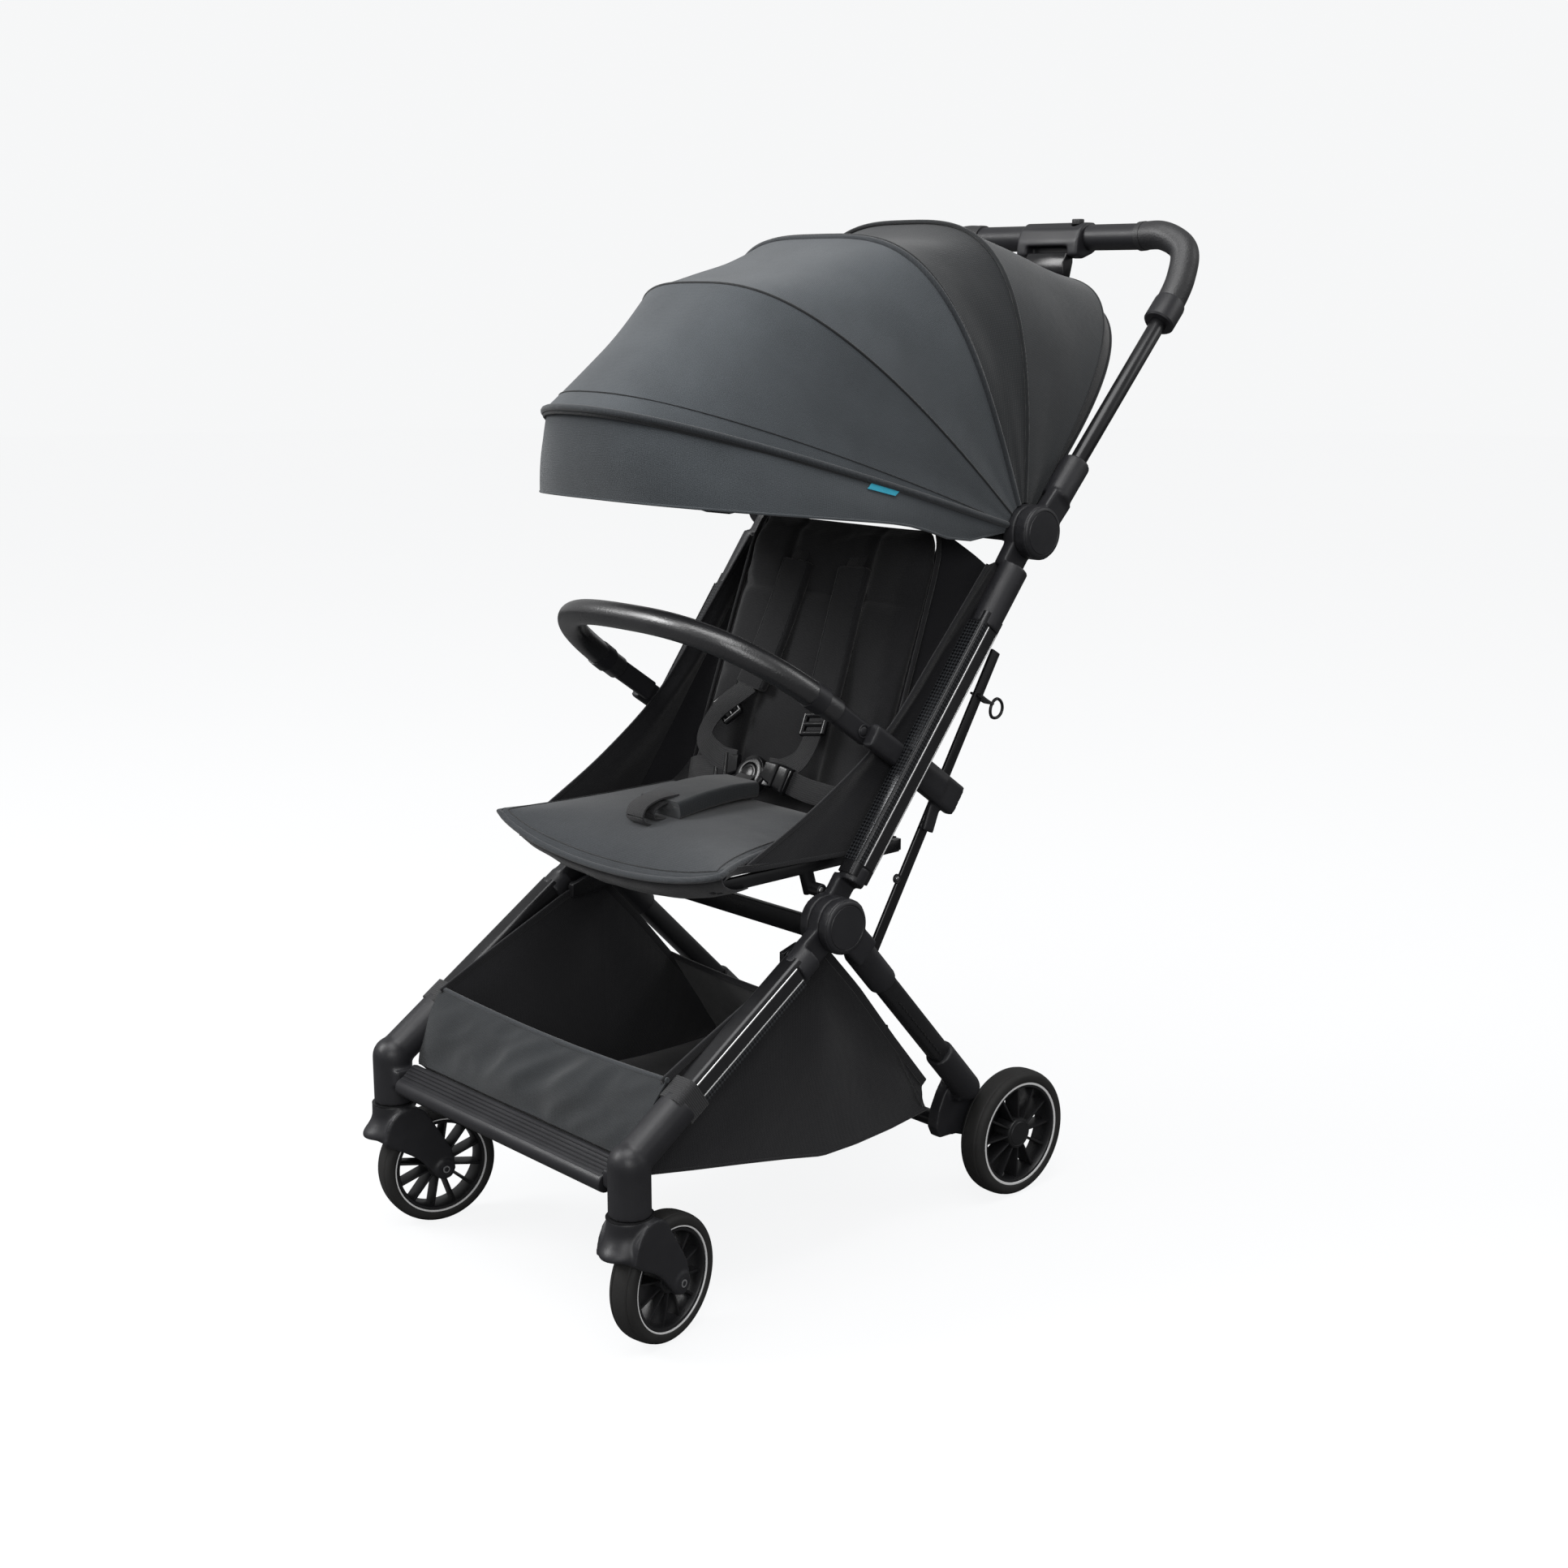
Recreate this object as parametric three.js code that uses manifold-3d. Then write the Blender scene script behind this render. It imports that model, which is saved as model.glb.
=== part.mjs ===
// Compact folding baby stroller: a tube frame that folds about two pairs of side hubs,
// swivelling front casters, a hooped canopy, a bumper bar and a sling seat over a basket.
// Millimetres, +Z up, the child faces -Y, +X is the child's left.
import * as THREE from "three";
import { mergeVertices } from "three/addons/utils/BufferGeometryUtils.js";
import Module from "manifold-3d";

const wasm = await Module();
wasm.setup();

// ---- driving dimensions ----
const REAR_WHEEL_R = 72;
const FRONT_WHEEL_R = 65;
const WHEEL_WIDTH = 30;
const WHEELBASE = 563; // rear axle to caster post, along Y
const REAR_TRACK_X = 183; // middle of a rear wheel
const CASTER_X = 203; // caster post
const CASTER_TRAIL = 46;
const CASTER_YAW = 11; // degrees, both casters trail slightly inwards
const POST_TOP_Z = 196; // bend at the top of a caster post
const SEAM_Z = 145; // where the fork turns under its post
const HUB_R = 29;
const GAP = 0.3; // left between pieces that touch
const TUBE_WIDTH = 24;
const TUBE_DEPTH = 30;
const SLEEVE_R = 16;
const NECK_END = 45; // distance from a hub's axis where a full-width sleeve may start
const CENTRE_Y = -158.2; // middle of the whole length, measured from the rear axle

// ---- key points, with Y measured from the rear axle ----
const point = (x, y, z) => new THREE.Vector3(x, y, z);
const LOWER_HUB = { y: -294, z: 376 };
const UPPER_HUB = { y: -12, z: 748 };
const REAR_LEG_END = point(177, -71, 141);
const POST_BEND = point(CASTER_X, -WHEELBASE, POST_TOP_Z);
const HANDLE_RING = point(191, 203, 962);
const HANDLE_TOP_Z = 1054;
const BUMPER_ROOT = point(190, -236, 562);
const SEAT_PIVOT = { y: -290, z: 405 };
const RECLINE_PIVOT = { y: -204, z: 440 };
const BRAKE_TUBE = { y: -86, z: 98 };
const BRACE_TOP = point(172, -32, 620);
const BRACE_FOOT = point(172, -214, 322);

// Layers of a hub stack, from the middle of the stroller outwards.
const LOWER_STACK = { seat: [156, 177.7], main: [178, 190], leg: [190.3, 204.7], rear: [205, 216] };
const UPPER_STACK = { main: [186, 200.7], handle: [201, 216] };
const PIN_R = 8;

// ---- solids ----
const UP = new THREE.Vector3(0, 0, 1);
const RIGHT = new THREE.Vector3(1, 0, 0);
const radians = THREE.MathUtils.degToRad;

function toSolid(geometry) {
  const bare = geometry.clone();
  bare.deleteAttribute("normal");
  bare.deleteAttribute("uv");
  const merged = mergeVertices(bare, 1e-4);
  const vertProperties = new Float32Array(merged.attributes.position.array);
  const triVerts = new Uint32Array(merged.index.array);
  return new wasm.Manifold(new wasm.Mesh({ numProp: 3, vertProperties, triVerts }));
}

function toGeometry(solid) {
  const { vertProperties, triVerts } = solid.getMesh();
  const geometry = new THREE.BufferGeometry();
  geometry.setAttribute("position", new THREE.BufferAttribute(new Float32Array(vertProperties), 3));
  geometry.setIndex(new THREE.BufferAttribute(new Uint32Array(triVerts), 1));
  return geometry;
}

const join = (...geometries) => toGeometry(geometries.map(toSolid).reduce((a, b) => a.add(b)));
const cut = (body, ...tools) => toGeometry(tools.map(toSolid).reduce((a, b) => a.subtract(b), toSolid(body)));

function frameAlong(from, to) {
  const along = to.clone().sub(from).normalize();
  const across = RIGHT.clone().addScaledVector(along, -RIGHT.dot(along)).normalize();
  const third = along.clone().cross(across);
  return new THREE.Matrix4().makeBasis(across, third, along).setPosition(from);
}

function roundedSection(width, depth, radius, steps = 1) {
  const shape = new THREE.Shape();
  const [w, d] = [width / 2 - radius, depth / 2 - radius];
  shape.absarc(w, -d, radius, -Math.PI / 2, 0);
  shape.absarc(w, d, radius, 0, Math.PI / 2);
  shape.absarc(-w, d, radius, Math.PI / 2, Math.PI);
  shape.absarc(-w, -d, radius, Math.PI, 1.5 * Math.PI);
  shape.closePath();
  return { shape, curveSegments: steps };
}

function roundSection(radius, sides = 16) {
  const shape = new THREE.Shape();
  shape.absarc(0, 0, radius, 0, 2 * Math.PI);
  return { shape, curveSegments: sides / 2 };
}

function squareSection(side) {
  const half = side / 2;
  const corners = [[-half, -half], [half, -half], [half, half], [-half, half]];
  return { shape: new THREE.Shape(corners.map(([u, v]) => new THREE.Vector2(u, v))), curveSegments: 1 };
}

// A straight bar of one section from one point to another, its width kept level.
function bar(from, to, section) {
  const options = { depth: from.distanceTo(to), bevelEnabled: false, curveSegments: section.curveSegments };
  return new THREE.ExtrudeGeometry(section.shape, options).applyMatrix4(frameAlong(from, to));
}

function bentBar(path, section, steps) {
  const options = { steps, extrudePath: path, bevelEnabled: false, curveSegments: section.curveSegments };
  return new THREE.ExtrudeGeometry(section.shape, options);
}

// A disc whose axis runs along X between two values of x.
function disc(x0, x1, y, z, radius, sides = 20) {
  const geometry = new THREE.CylinderGeometry(radius, radius, x1 - x0, sides);
  return geometry.rotateZ(Math.PI / 2).translate((x0 + x1) / 2, y, z);
}

function post(x, y, z0, z1, radius, sides = 24) {
  return new THREE.CylinderGeometry(radius, radius, z1 - z0, sides).rotateX(Math.PI / 2)
    .translate(x, y, (z0 + z1) / 2);
}

function block(x0, x1, y0, y1, z0, z1) {
  return new THREE.BoxGeometry(x1 - x0, y1 - y0, z1 - z0)
    .translate((x0 + x1) / 2, (y0 + y1) / 2, (z0 + z1) / 2);
}

// A flat plate cut to a side outline of [y, z] corners, between two values of x.
function sidePlate(x0, x1, corners) {
  const shape = new THREE.Shape(corners.map(([y, z]) => new THREE.Vector2(y, z)));
  return new THREE.ExtrudeGeometry(shape, { depth: x1 - x0, bevelEnabled: false })
    .applyMatrix4(new THREE.Matrix4().makeBasis(point(0, 1, 0), UP, RIGHT))
    .translate(x0, 0, 0);
}

const mirrored = (geometry) => toGeometry(toSolid(geometry).mirror([1, 0, 0]));
const pointAlong = (from, to, distance) =>
  from.clone().addScaledVector(to.clone().sub(from).normalize(), distance);
const hubPoint = (hub, x) => point(x, hub.y, hub.z);

// ---- materials ----
const finish = (color, roughness, metalness) => new THREE.MeshStandardMaterial({ color, roughness, metalness });
const paintedTube = finish(0x17181a, 0.35, 0.6);
const sideProfile = finish(0x1c1e20, 0.25, 0.5);
const plastic = finish(0x1b1c1e, 0.6, 0.0);
const softGrip = finish(0x141516, 0.5, 0.0);
const rubber = finish(0x111213, 0.75, 0.0);
const rimPlastic = finish(0x0e0f10, 0.45, 0.0);
const steel = finish(0x9a9da0, 0.3, 1.0);
const greyCloth = finish(0x45484b, 0.9, 0.0);
const blackCloth = finish(0x202123, 0.95, 0.0);

const stroller = new THREE.Group();
stroller.position.y = -CENTRE_Y;

function add(name, geometry, material) {
  const mesh = new THREE.Mesh(geometry, material);
  mesh.name = name;
  stroller.add(mesh);
}

function addPair(name, geometry, material) {
  add(`${name}_left`, geometry, material);
  add(`${name}_right`, mirrored(geometry), material);
}

// ---- wheels ----
const TYRE_INNER = 0.8; // of the wheel's radius
const SPOKES = 12;

function tyre(radius) {
  const half = WHEEL_WIDTH / 2;
  const inner = radius * TYRE_INNER;
  const profile = [
    [inner, -half + 2], [radius - 5, -half], [radius - 1, -half + 4], [radius, 0],
    [radius - 1, half - 4], [radius - 5, half], [inner, half - 2], [inner, -half + 2],
  ];
  const outline = profile.map(([r, x]) => new THREE.Vector2(r, x));
  return new THREE.LatheGeometry(outline, 24).rotateZ(-Math.PI / 2);
}

function rim(radius, boreRadius) {
  const half = WHEEL_WIDTH / 2 - 3;
  const outer = radius * TYRE_INNER - GAP;
  const ringOutline = [[outer - 5, -half], [outer, -half], [outer, half], [outer - 5, half], [outer - 5, -half]]
    .map(([r, x]) => new THREE.Vector2(r, x));
  const ring = new THREE.LatheGeometry(ringOutline, 24).rotateZ(-Math.PI / 2);
  const spokes = [];
  for (let k = 0; k < SPOKES; k += 1) {
    const spoke = block(-half + 2, half - 2, -1.2, 1.2, 8, outer - 3);
    spokes.push(spoke.rotateX((2 * Math.PI * k) / SPOKES));
  }
  const wheel = join(ring, disc(-half - 1, half + 1, 0, 0, 16, 16), ...spokes);
  return cut(wheel, disc(-half - 3, half + 3, 0, 0, boreRadius, 16));
}

// ---- front casters ----
const AXLE_R = 4;
const FORK_GAP = WHEEL_WIDTH / 2 + 2.5;
const FORK_LEG = 8;
const FORK_BOSS = 29;

function casterFork() {
  const crown = post(0, 0, 134, SEAM_Z - GAP, 21, 24);
  const roof = block(-FORK_GAP - FORK_LEG, FORK_GAP + FORK_LEG, -18, 28, 134, 141);
  const legOutline = [
    [-23, 112], [-19, 141], [27, 141], [33, 124], [45, 107], [56, 86], [CASTER_TRAIL + 12, 66], [CASTER_TRAIL + 8, 56],
    [CASTER_TRAIL, 53], [CASTER_TRAIL - 8, 56], [CASTER_TRAIL - 13, 66], [10, 96], [-6, 106],
  ];
  const legs = [-1, 1].map((side) => {
    const near = side > 0 ? FORK_GAP : -FORK_GAP - FORK_LEG;
    return sidePlate(near, near + FORK_LEG, legOutline);
  });
  const bosses = [-1, 1].map((side) =>
    disc(...(side > 0 ? [FORK_GAP + 1, FORK_BOSS] : [-FORK_BOSS, -FORK_GAP - 1]), CASTER_TRAIL, 65, 11, 16));
  const body = join(crown, roof, ...legs, ...bosses);
  return cut(body, disc(-40, 40, CASTER_TRAIL, 65, AXLE_R + GAP, 16));
}

const casterPlace = (geometry) => geometry.rotateZ(radians(CASTER_YAW)).translate(CASTER_X, -WHEELBASE, 0);
const frontWheelPlace = (geometry) => casterPlace(geometry.translate(0, CASTER_TRAIL, FRONT_WHEEL_R));

addPair("caster_fork", casterPlace(casterFork()), plastic);
addPair("caster_axle", casterPlace(disc(-FORK_BOSS + 1, FORK_BOSS - 1, CASTER_TRAIL, 65, AXLE_R, 16)), steel);
addPair("front_rim", frontWheelPlace(rim(FRONT_WHEEL_R, AXLE_R + GAP)), rimPlastic);
addPair("front_tyre", frontWheelPlace(tyre(FRONT_WHEEL_R)), rubber);

// ---- front frame: posts, legs, hub housings, footrest and crossbar ----
const tubeSection = roundedSection(TUBE_WIDTH, TUBE_DEPTH, 7);
const LEG_TOP = hubPoint(LOWER_HUB, 200);
const LEG_SOCKET = pointAlong(POST_BEND, LEG_TOP, 76);
const LEG_SLEEVE = pointAlong(LEG_TOP, POST_BEND, 68);

function frontElbow() {
  const column = post(CASTER_X, -WHEELBASE, SEAM_Z, POST_TOP_Z, 21, 24);
  const corner = new THREE.SphereGeometry(21, 20, 12).translate(POST_BEND.x, POST_BEND.y, POST_BEND.z);
  const socket = bar(POST_BEND, LEG_SOCKET, roundSection(19, 18));
  const lug = block(CASTER_X - 27, CASTER_X - 8, -WHEELBASE - 12, -WHEELBASE + 12, 168, 186);
  return join(column, corner, socket, lug);
}

// A hub's disc with a neck of the same thickness out to where its sleeve starts.
// The sleeve lies on the tube's own axis, which may lean out of the disc's plane.
function knuckle(hub, layer, [axisFrom, axisTo], sleeveEnd, sleeveRadius = SLEEVE_R) {
  const middle = (layer[0] + layer[1]) / 2;
  const axis = hubPoint(hub, middle);
  const neck = bar(axis, pointAlong(axis, axisTo.clone().setX(middle), NECK_END + 4),
    roundedSection(layer[1] - layer[0], 2 * sleeveRadius, 2));
  const sleeve = bar(pointAlong(axisFrom, axisTo, NECK_END), sleeveEnd, roundSection(sleeveRadius, 18));
  return join(disc(layer[0], layer[1], hub.y, hub.z, HUB_R), neck, sleeve);
}

function pinHole(hub) {
  return disc(120, 240, hub.y, hub.z, PIN_R + GAP, 20);
}

function lowerHubHousing() {
  const body = knuckle(LOWER_HUB, LOWER_STACK.leg, [LEG_TOP, POST_BEND], LEG_SLEEVE);
  return cut(body, pinHole(LOWER_HUB));
}

addPair("front_elbow", frontElbow(), plastic);
addPair("front_leg", bar(pointAlong(LEG_SOCKET, LEG_TOP, GAP), pointAlong(LEG_SLEEVE, POST_BEND, GAP),
  tubeSection), sideProfile);
addPair("lower_hub", lowerHubHousing(), plastic);

function footrest() {
  const halfWidth = CASTER_X - 27 - GAP;
  const slopeSection = [
    [-WHEELBASE - 14, 168], [-WHEELBASE - 14, 175], [-WHEELBASE + 8, 191], [-WHEELBASE + 14, 189],
    [-WHEELBASE + 8, 180], [-WHEELBASE - 4, 168],
  ];
  const board = sidePlate(-halfWidth, halfWidth, slopeSection);
  const nose = disc(-halfWidth, halfWidth, -WHEELBASE - 6, 170, 10, 20);
  return join(board, nose);
}

add("footrest", footrest(), plastic);

function crossbar() {
  const reach = 170;
  const flat = block(-reach - 7, reach + 7, -266, -258, 341, 363);
  const tabs = [-1, 1].map((side) => {
    const [x0, x1] = side > 0 ? [reach, reach + 7] : [-reach - 7, -reach];
    return sidePlate(x0, x1, [[-262, 343], [-262, 357], [-322, 356], [-342, 350], [-342, 336], [-322, 336]]);
  });
  const feet = [-1, 1].map((side) =>
    disc(...(side > 0 ? [reach + 2, 182] : [-182, -reach - 2]), -334, 345, 6, 16));
  return join(flat, ...tabs, ...feet);
}

add("crossbar", crossbar(), paintedTube);

// ---- basket: a sewn tub slung between the front legs and the rear legs ----
const BASKET_OUTLINE = [
  [-507, 256], [-545, 204], [-522, 170], [-406, 146], [-295, 114], [-133, 127],
  [-126, 150], [-236, 286], [-292, 336], [-330, 336], [-420, 296],
];
const BASKET_CAVITY = [
  [-504, 290], [-541, 205], [-520, 173.5], [-405, 149.5], [-295, 117.5], [-136, 130],
  [-130, 149], [-239, 283], [-300, 345], [-300, 420], [-480, 420],
];
const CLOTH = 3;

function basket() {
  const halfWidth = 176;
  const narrow = (geometry) => {
    const position = geometry.attributes.position;
    for (let k = 0; k < position.count; k += 1) {
      const backwards = THREE.MathUtils.clamp((position.getY(k) + 480) / 180, 0, 1);
      position.setX(k, position.getX(k) * (1 - 0.075 * backwards));
    }
    return geometry;
  };
  const outside = narrow(sidePlate(-halfWidth, halfWidth, BASKET_OUTLINE));
  const inside = narrow(sidePlate(-halfWidth + CLOTH, halfWidth - CLOTH, BASKET_CAVITY));
  return cut(outside, inside);
}

add("basket", basket(), blackCloth);

// ---- rear frame: knuckles, legs, feet, brake tube and wheels ----
const REAR_AXIS = hubPoint(LOWER_HUB, 204);
const REAR_SOCKET_END = pointAlong(REAR_AXIS, REAR_LEG_END, 106);
const REAR_SLEEVE_START = pointAlong(REAR_LEG_END, REAR_AXIS, 74);

function rearKnuckle() {
  const body = knuckle(LOWER_HUB, LOWER_STACK.rear, [REAR_AXIS, REAR_LEG_END], REAR_SOCKET_END);
  const pin = disc(LOWER_STACK.main[0] + 1, LOWER_STACK.rear[1] - 2, LOWER_HUB.y, LOWER_HUB.z, PIN_R, 20);
  return join(body, pin);
}

function rearFoot() {
  const sleeve = bar(REAR_SLEEVE_START, REAR_LEG_END, roundSection(SLEEVE_R, 18));
  const heel = new THREE.SphereGeometry(SLEEVE_R, 16, 10)
    .translate(REAR_LEG_END.x, REAR_LEG_END.y, REAR_LEG_END.z);
  const arm = sidePlate(150, 165, [
    [-92, 132], [-78, 152], [-58, 140], [10, 86], [13, 72], [9, 61], [0, 58], [-30, 66],
    [-72, 82], [-98, 84], [-104, 96], [-100, 116],
  ]);
  const bridge = disc(155, 178, REAR_LEG_END.y - 4, REAR_LEG_END.z - 8, 10, 16);
  const axle = disc(160, REAR_TRACK_X + WHEEL_WIDTH / 2 - 4, 0, REAR_WHEEL_R, 5, 16);
  const body = join(sleeve, heel, arm, bridge, axle);
  return cut(body, disc(100, 158, BRAKE_TUBE.y, BRAKE_TUBE.z, 9 + GAP, 20));
}

addPair("rear_knuckle", rearKnuckle(), plastic);
addPair("rear_leg", bar(pointAlong(REAR_SOCKET_END, REAR_LEG_END, GAP), pointAlong(REAR_SLEEVE_START, REAR_AXIS, GAP),
  roundedSection(20, 24, 6)), paintedTube);
addPair("rear_foot", rearFoot(), plastic);
add("brake_tube", disc(-157, 157, BRAKE_TUBE.y, BRAKE_TUBE.z, 9, 20), paintedTube);

const rearWheelPlace = (geometry) => geometry.translate(REAR_TRACK_X, 0, REAR_WHEEL_R);
addPair("rear_rim", rearWheelPlace(rim(REAR_WHEEL_R, 5 + GAP)), rimPlastic);
addPair("rear_tyre", rearWheelPlace(tyre(REAR_WHEEL_R)), rubber);

function brakePedal() {
  const clasp = disc(-34, 34, BRAKE_TUBE.y, BRAKE_TUBE.z, 14, 20);
  const tread = sidePlate(-30, 30, [
    [BRAKE_TUBE.y + 6, BRAKE_TUBE.z + 12], [BRAKE_TUBE.y + 62, BRAKE_TUBE.z + 22],
    [BRAKE_TUBE.y + 64, BRAKE_TUBE.z + 15], [BRAKE_TUBE.y + 10, BRAKE_TUBE.z - 2],
  ]);
  return cut(join(clasp, tread), disc(-60, 60, BRAKE_TUBE.y, BRAKE_TUBE.z, 9 + GAP, 20));
}

add("brake_pedal", brakePedal(), plastic);

// ---- back frame: side tubes between the hubs, braces and bumper mounts ----
const MAIN_BOTTOM = hubPoint(LOWER_HUB, 192);
const MAIN_TOP = hubPoint(UPPER_HUB, 203);
const LOWER_SOCKET_END = pointAlong(MAIN_BOTTOM, MAIN_TOP, 64);
const UPPER_SLEEVE_END = pointAlong(MAIN_TOP, MAIN_BOTTOM, 118);

function lowerKnuckle() {
  const body = knuckle(LOWER_HUB, LOWER_STACK.main, [MAIN_BOTTOM, MAIN_TOP], LOWER_SOCKET_END, 14);
  return cut(body, pinHole(LOWER_HUB));
}

function upperHub() {
  const body = knuckle(UPPER_HUB, UPPER_STACK.main, [MAIN_TOP, MAIN_BOTTOM], UPPER_SLEEVE_END);
  return cut(body, pinHole(UPPER_HUB));
}

addPair("lower_knuckle", lowerKnuckle(), plastic);
addPair("side_tube", bar(pointAlong(LOWER_SOCKET_END, MAIN_TOP, GAP),
  pointAlong(UPPER_SLEEVE_END, MAIN_BOTTOM, GAP), tubeSection), sideProfile);
addPair("upper_hub", upperHub(), plastic);
addPair("brace_bar", bar(BRACE_FOOT, BRACE_TOP, roundedSection(5, 14, 2, 1)), paintedTube);

// The mount holds the bumper bar's end in front of the side tube and the brace behind it.
function bumperMount() {
  const tubeAt = (z) => LOWER_HUB.y + ((z - LOWER_HUB.z) * (UPPER_HUB.y - LOWER_HUB.y))
    / (UPPER_HUB.z - LOWER_HUB.z);
  const nose = bar(point(186, BUMPER_ROOT.y + 4, BUMPER_ROOT.z - 3), point(186, -128, 487),
    roundedSection(14, 26, 5));
  const block1 = bar(point(183, tubeAt(520) + 6, 524), point(183, -104, 470), roundedSection(15, 34, 4));
  const lug = bar(point(179, -124, 484), point(179, -141, 442), roundedSection(7, 17, 3));
  const profile = bar(MAIN_BOTTOM, MAIN_TOP, roundedSection(TUBE_WIDTH + 2 * GAP, TUBE_DEPTH + 2 * GAP, 7));
  const pivotHole = disc(150, 230, BUMPER_ROOT.y, BUMPER_ROOT.z, 5 + GAP, 16);
  return cut(join(nose, block1, lug), profile, pivotHole);
}

addPair("bumper_mount", bumperMount(), plastic);

// ---- bumper bar: a padded hoop that swings on its two mounts ----
const BUMPER_TILT = radians(35);
const BUMPER_REACH = 197;
const BUMPER_R = 13.5;

// A half hoop in a plane through an X axis: from +width over the far end to -width.
function hoopPath(axis, width, reach, exponent, angle, start = 0) {
  const points = [];
  const count = 24;
  for (let k = 0; k <= count; k += 1) {
    const turn = start + ((Math.PI - 2 * start) * k) / count;
    const [c, s] = [Math.cos(turn), Math.sin(turn)];
    const x = width * Math.sign(c) * Math.abs(c) ** (2 / exponent);
    const r = reach * Math.abs(s) ** (2 / exponent);
    points.push(point(x, axis.y + r * Math.cos(angle), axis.z + r * Math.sin(angle)));
  }
  return new THREE.CatmullRomCurve3(points);
}

function bumperBar() {
  const angle = Math.PI - BUMPER_TILT;
  const pad = bentBar(hoopPath(BUMPER_ROOT, 175, BUMPER_REACH, 2.8, angle, 0.12), roundSection(BUMPER_R, 14), 26);
  const arms = [-1, 1].map((side) => {
    const root = point(side * 173, BUMPER_ROOT.y, BUMPER_ROOT.z);
    const tip = root.clone().add(point(0, 70 * Math.cos(angle), 70 * Math.sin(angle)));
    return bar(root, tip, roundedSection(12, 22, 4));
  });
  const pins = [-1, 1].map((side) =>
    disc(...(side > 0 ? [166, 192] : [-192, -166]), BUMPER_ROOT.y, BUMPER_ROOT.z, 5, 16));
  return join(pad, ...arms, ...pins);
}

add("bumper_bar", bumperBar(), softGrip);

// ---- handle: knuckles, thin tubes, the padded bar and its centre housing ----
const HANDLE_AXIS = hubPoint(UPPER_HUB, 207);
const HANDLE_SLEEVE_END = pointAlong(HANDLE_AXIS, HANDLE_RING, 96);
const HANDLE_TUBE_R = 9;
const GRIP_R = 16;
const HOUSING_HALF = 46;

function handleKnuckle() {
  const body = knuckle(UPPER_HUB, UPPER_STACK.handle, [HANDLE_AXIS, HANDLE_RING], HANDLE_SLEEVE_END);
  const pin = disc(171, UPPER_STACK.handle[1] - 2, UPPER_HUB.y, UPPER_HUB.z, PIN_R, 20);
  return join(body, pin);
}

addPair("handle_knuckle", handleKnuckle(), plastic);
addPair("handle_tube", bar(pointAlong(HANDLE_SLEEVE_END, HANDLE_RING, GAP), HANDLE_RING,
  roundSection(HANDLE_TUBE_R, 16)), paintedTube);

function handlebar() {
  const lift = HANDLE_RING.clone().sub(HANDLE_AXIS).normalize();
  const start = HANDLE_RING.clone().addScaledVector(lift, GAP);
  const top = HANDLE_TOP_Z;
  const corner = point(181, 254, 1038);
  const half = [start, start.clone().addScaledVector(lift, 22), point(189, 240, 1008), corner,
    point(152, 256, top), point(112, 256, top), point(HOUSING_HALF - 6, 256, top)];
  const other = half.map((p) => point(-p.x, p.y, p.z)).reverse();
  const path = new THREE.CatmullRomCurve3([...half, ...other], false, "centripetal");
  const tube = bentBar(path, roundSection(GRIP_R, 14), 32);
  const cap = (side) => {
    const from = point(side * start.x, start.y, start.z);
    const to = point(side * (start.x + 28 * lift.x), start.y + 28 * lift.y, start.z + 28 * lift.z);
    return bar(from, to, roundSection(GRIP_R + 2, 16));
  };
  const housingSpace = block(-HOUSING_HALF - GAP, HOUSING_HALF + GAP, 200, 300, 1000, 1100);
  const loop = join(tube, cap(1), cap(-1));
  const spine = disc(-HOUSING_HALF - 4, HOUSING_HALF + 4, 256, top, 8, 16);
  return join(cut(loop, housingSpace), spine);
}

add("handlebar", handlebar(), softGrip);

function handleHousing() {
  const outline = [
    [238, 1064], [249, 1071], [264, 1071], [274, 1062], [274, 1044], [262, 1036],
    [244, 1030], [231, 1034], [232, 1050],
  ];
  const body = sidePlate(-HOUSING_HALF, HOUSING_HALF, outline);
  const bore = disc(-HOUSING_HALF - 5, HOUSING_HALF + 5, 256, HANDLE_TOP_Z, 8 + GAP, 16);
  const triggerSlot = block(-30 - GAP, 30 + GAP, 225, 252 - 7 + GAP, 1020, 1044 + GAP);
  const buttonWell = post(30, 252, 1064, 1080, 7 + GAP, 16);
  return cut(body, bore, triggerSlot, buttonWell);
}

add("handle_housing", handleHousing(), plastic);
add("fold_trigger", sidePlate(-30, 30, [[228, 1010], [227, 1026], [234, 1037.5], [245, 1037.5], [245, 1026],
  [240, 1008]]), plastic);
add("lock_button", post(30, 252, 1068.5, 1075, 7, 16), softGrip);

// ---- canopy: four hoops and one sheet over them ----
const HOOPS = {
  canopy_front_hoop: { angle: 163, reach: 459, width: 181, exponent: 2.3 },
  canopy_second_hoop: { angle: 138, reach: 377, width: 176.5, exponent: 2.8 },
  canopy_third_hoop: { angle: 112, reach: 317, width: 172, exponent: 3.5 },
  canopy_rear_hoop: { angle: 88, reach: 310, width: 167.5, exponent: 3.2 },
};

function canopyHoop({ angle, reach, width, exponent }) {
  const turn = radians(angle);
  const start = Math.asin((38 / reach) ** (exponent / 2));
  const rod = bentBar(hoopPath(UPPER_HUB, width, reach, exponent, turn, start), squareSection(3.6), 18);
  const eyes = [-1, 1].map((side) => {
    const eye = disc(side * width - 2, side * width + 2, UPPER_HUB.y, UPPER_HUB.z, 13, 14);
    const tip = point(side * width, UPPER_HUB.y + 44 * Math.cos(turn), UPPER_HUB.z + 44 * Math.sin(turn));
    return [eye, bar(hubPoint(UPPER_HUB, side * width), tip, roundedSection(3.6, 8, 1, 1))];
  });
  return cut(join(rod, ...eyes.flat()), disc(-240, 240, UPPER_HUB.y, UPPER_HUB.z, PIN_R + GAP + 0.3, 14));
}

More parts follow.
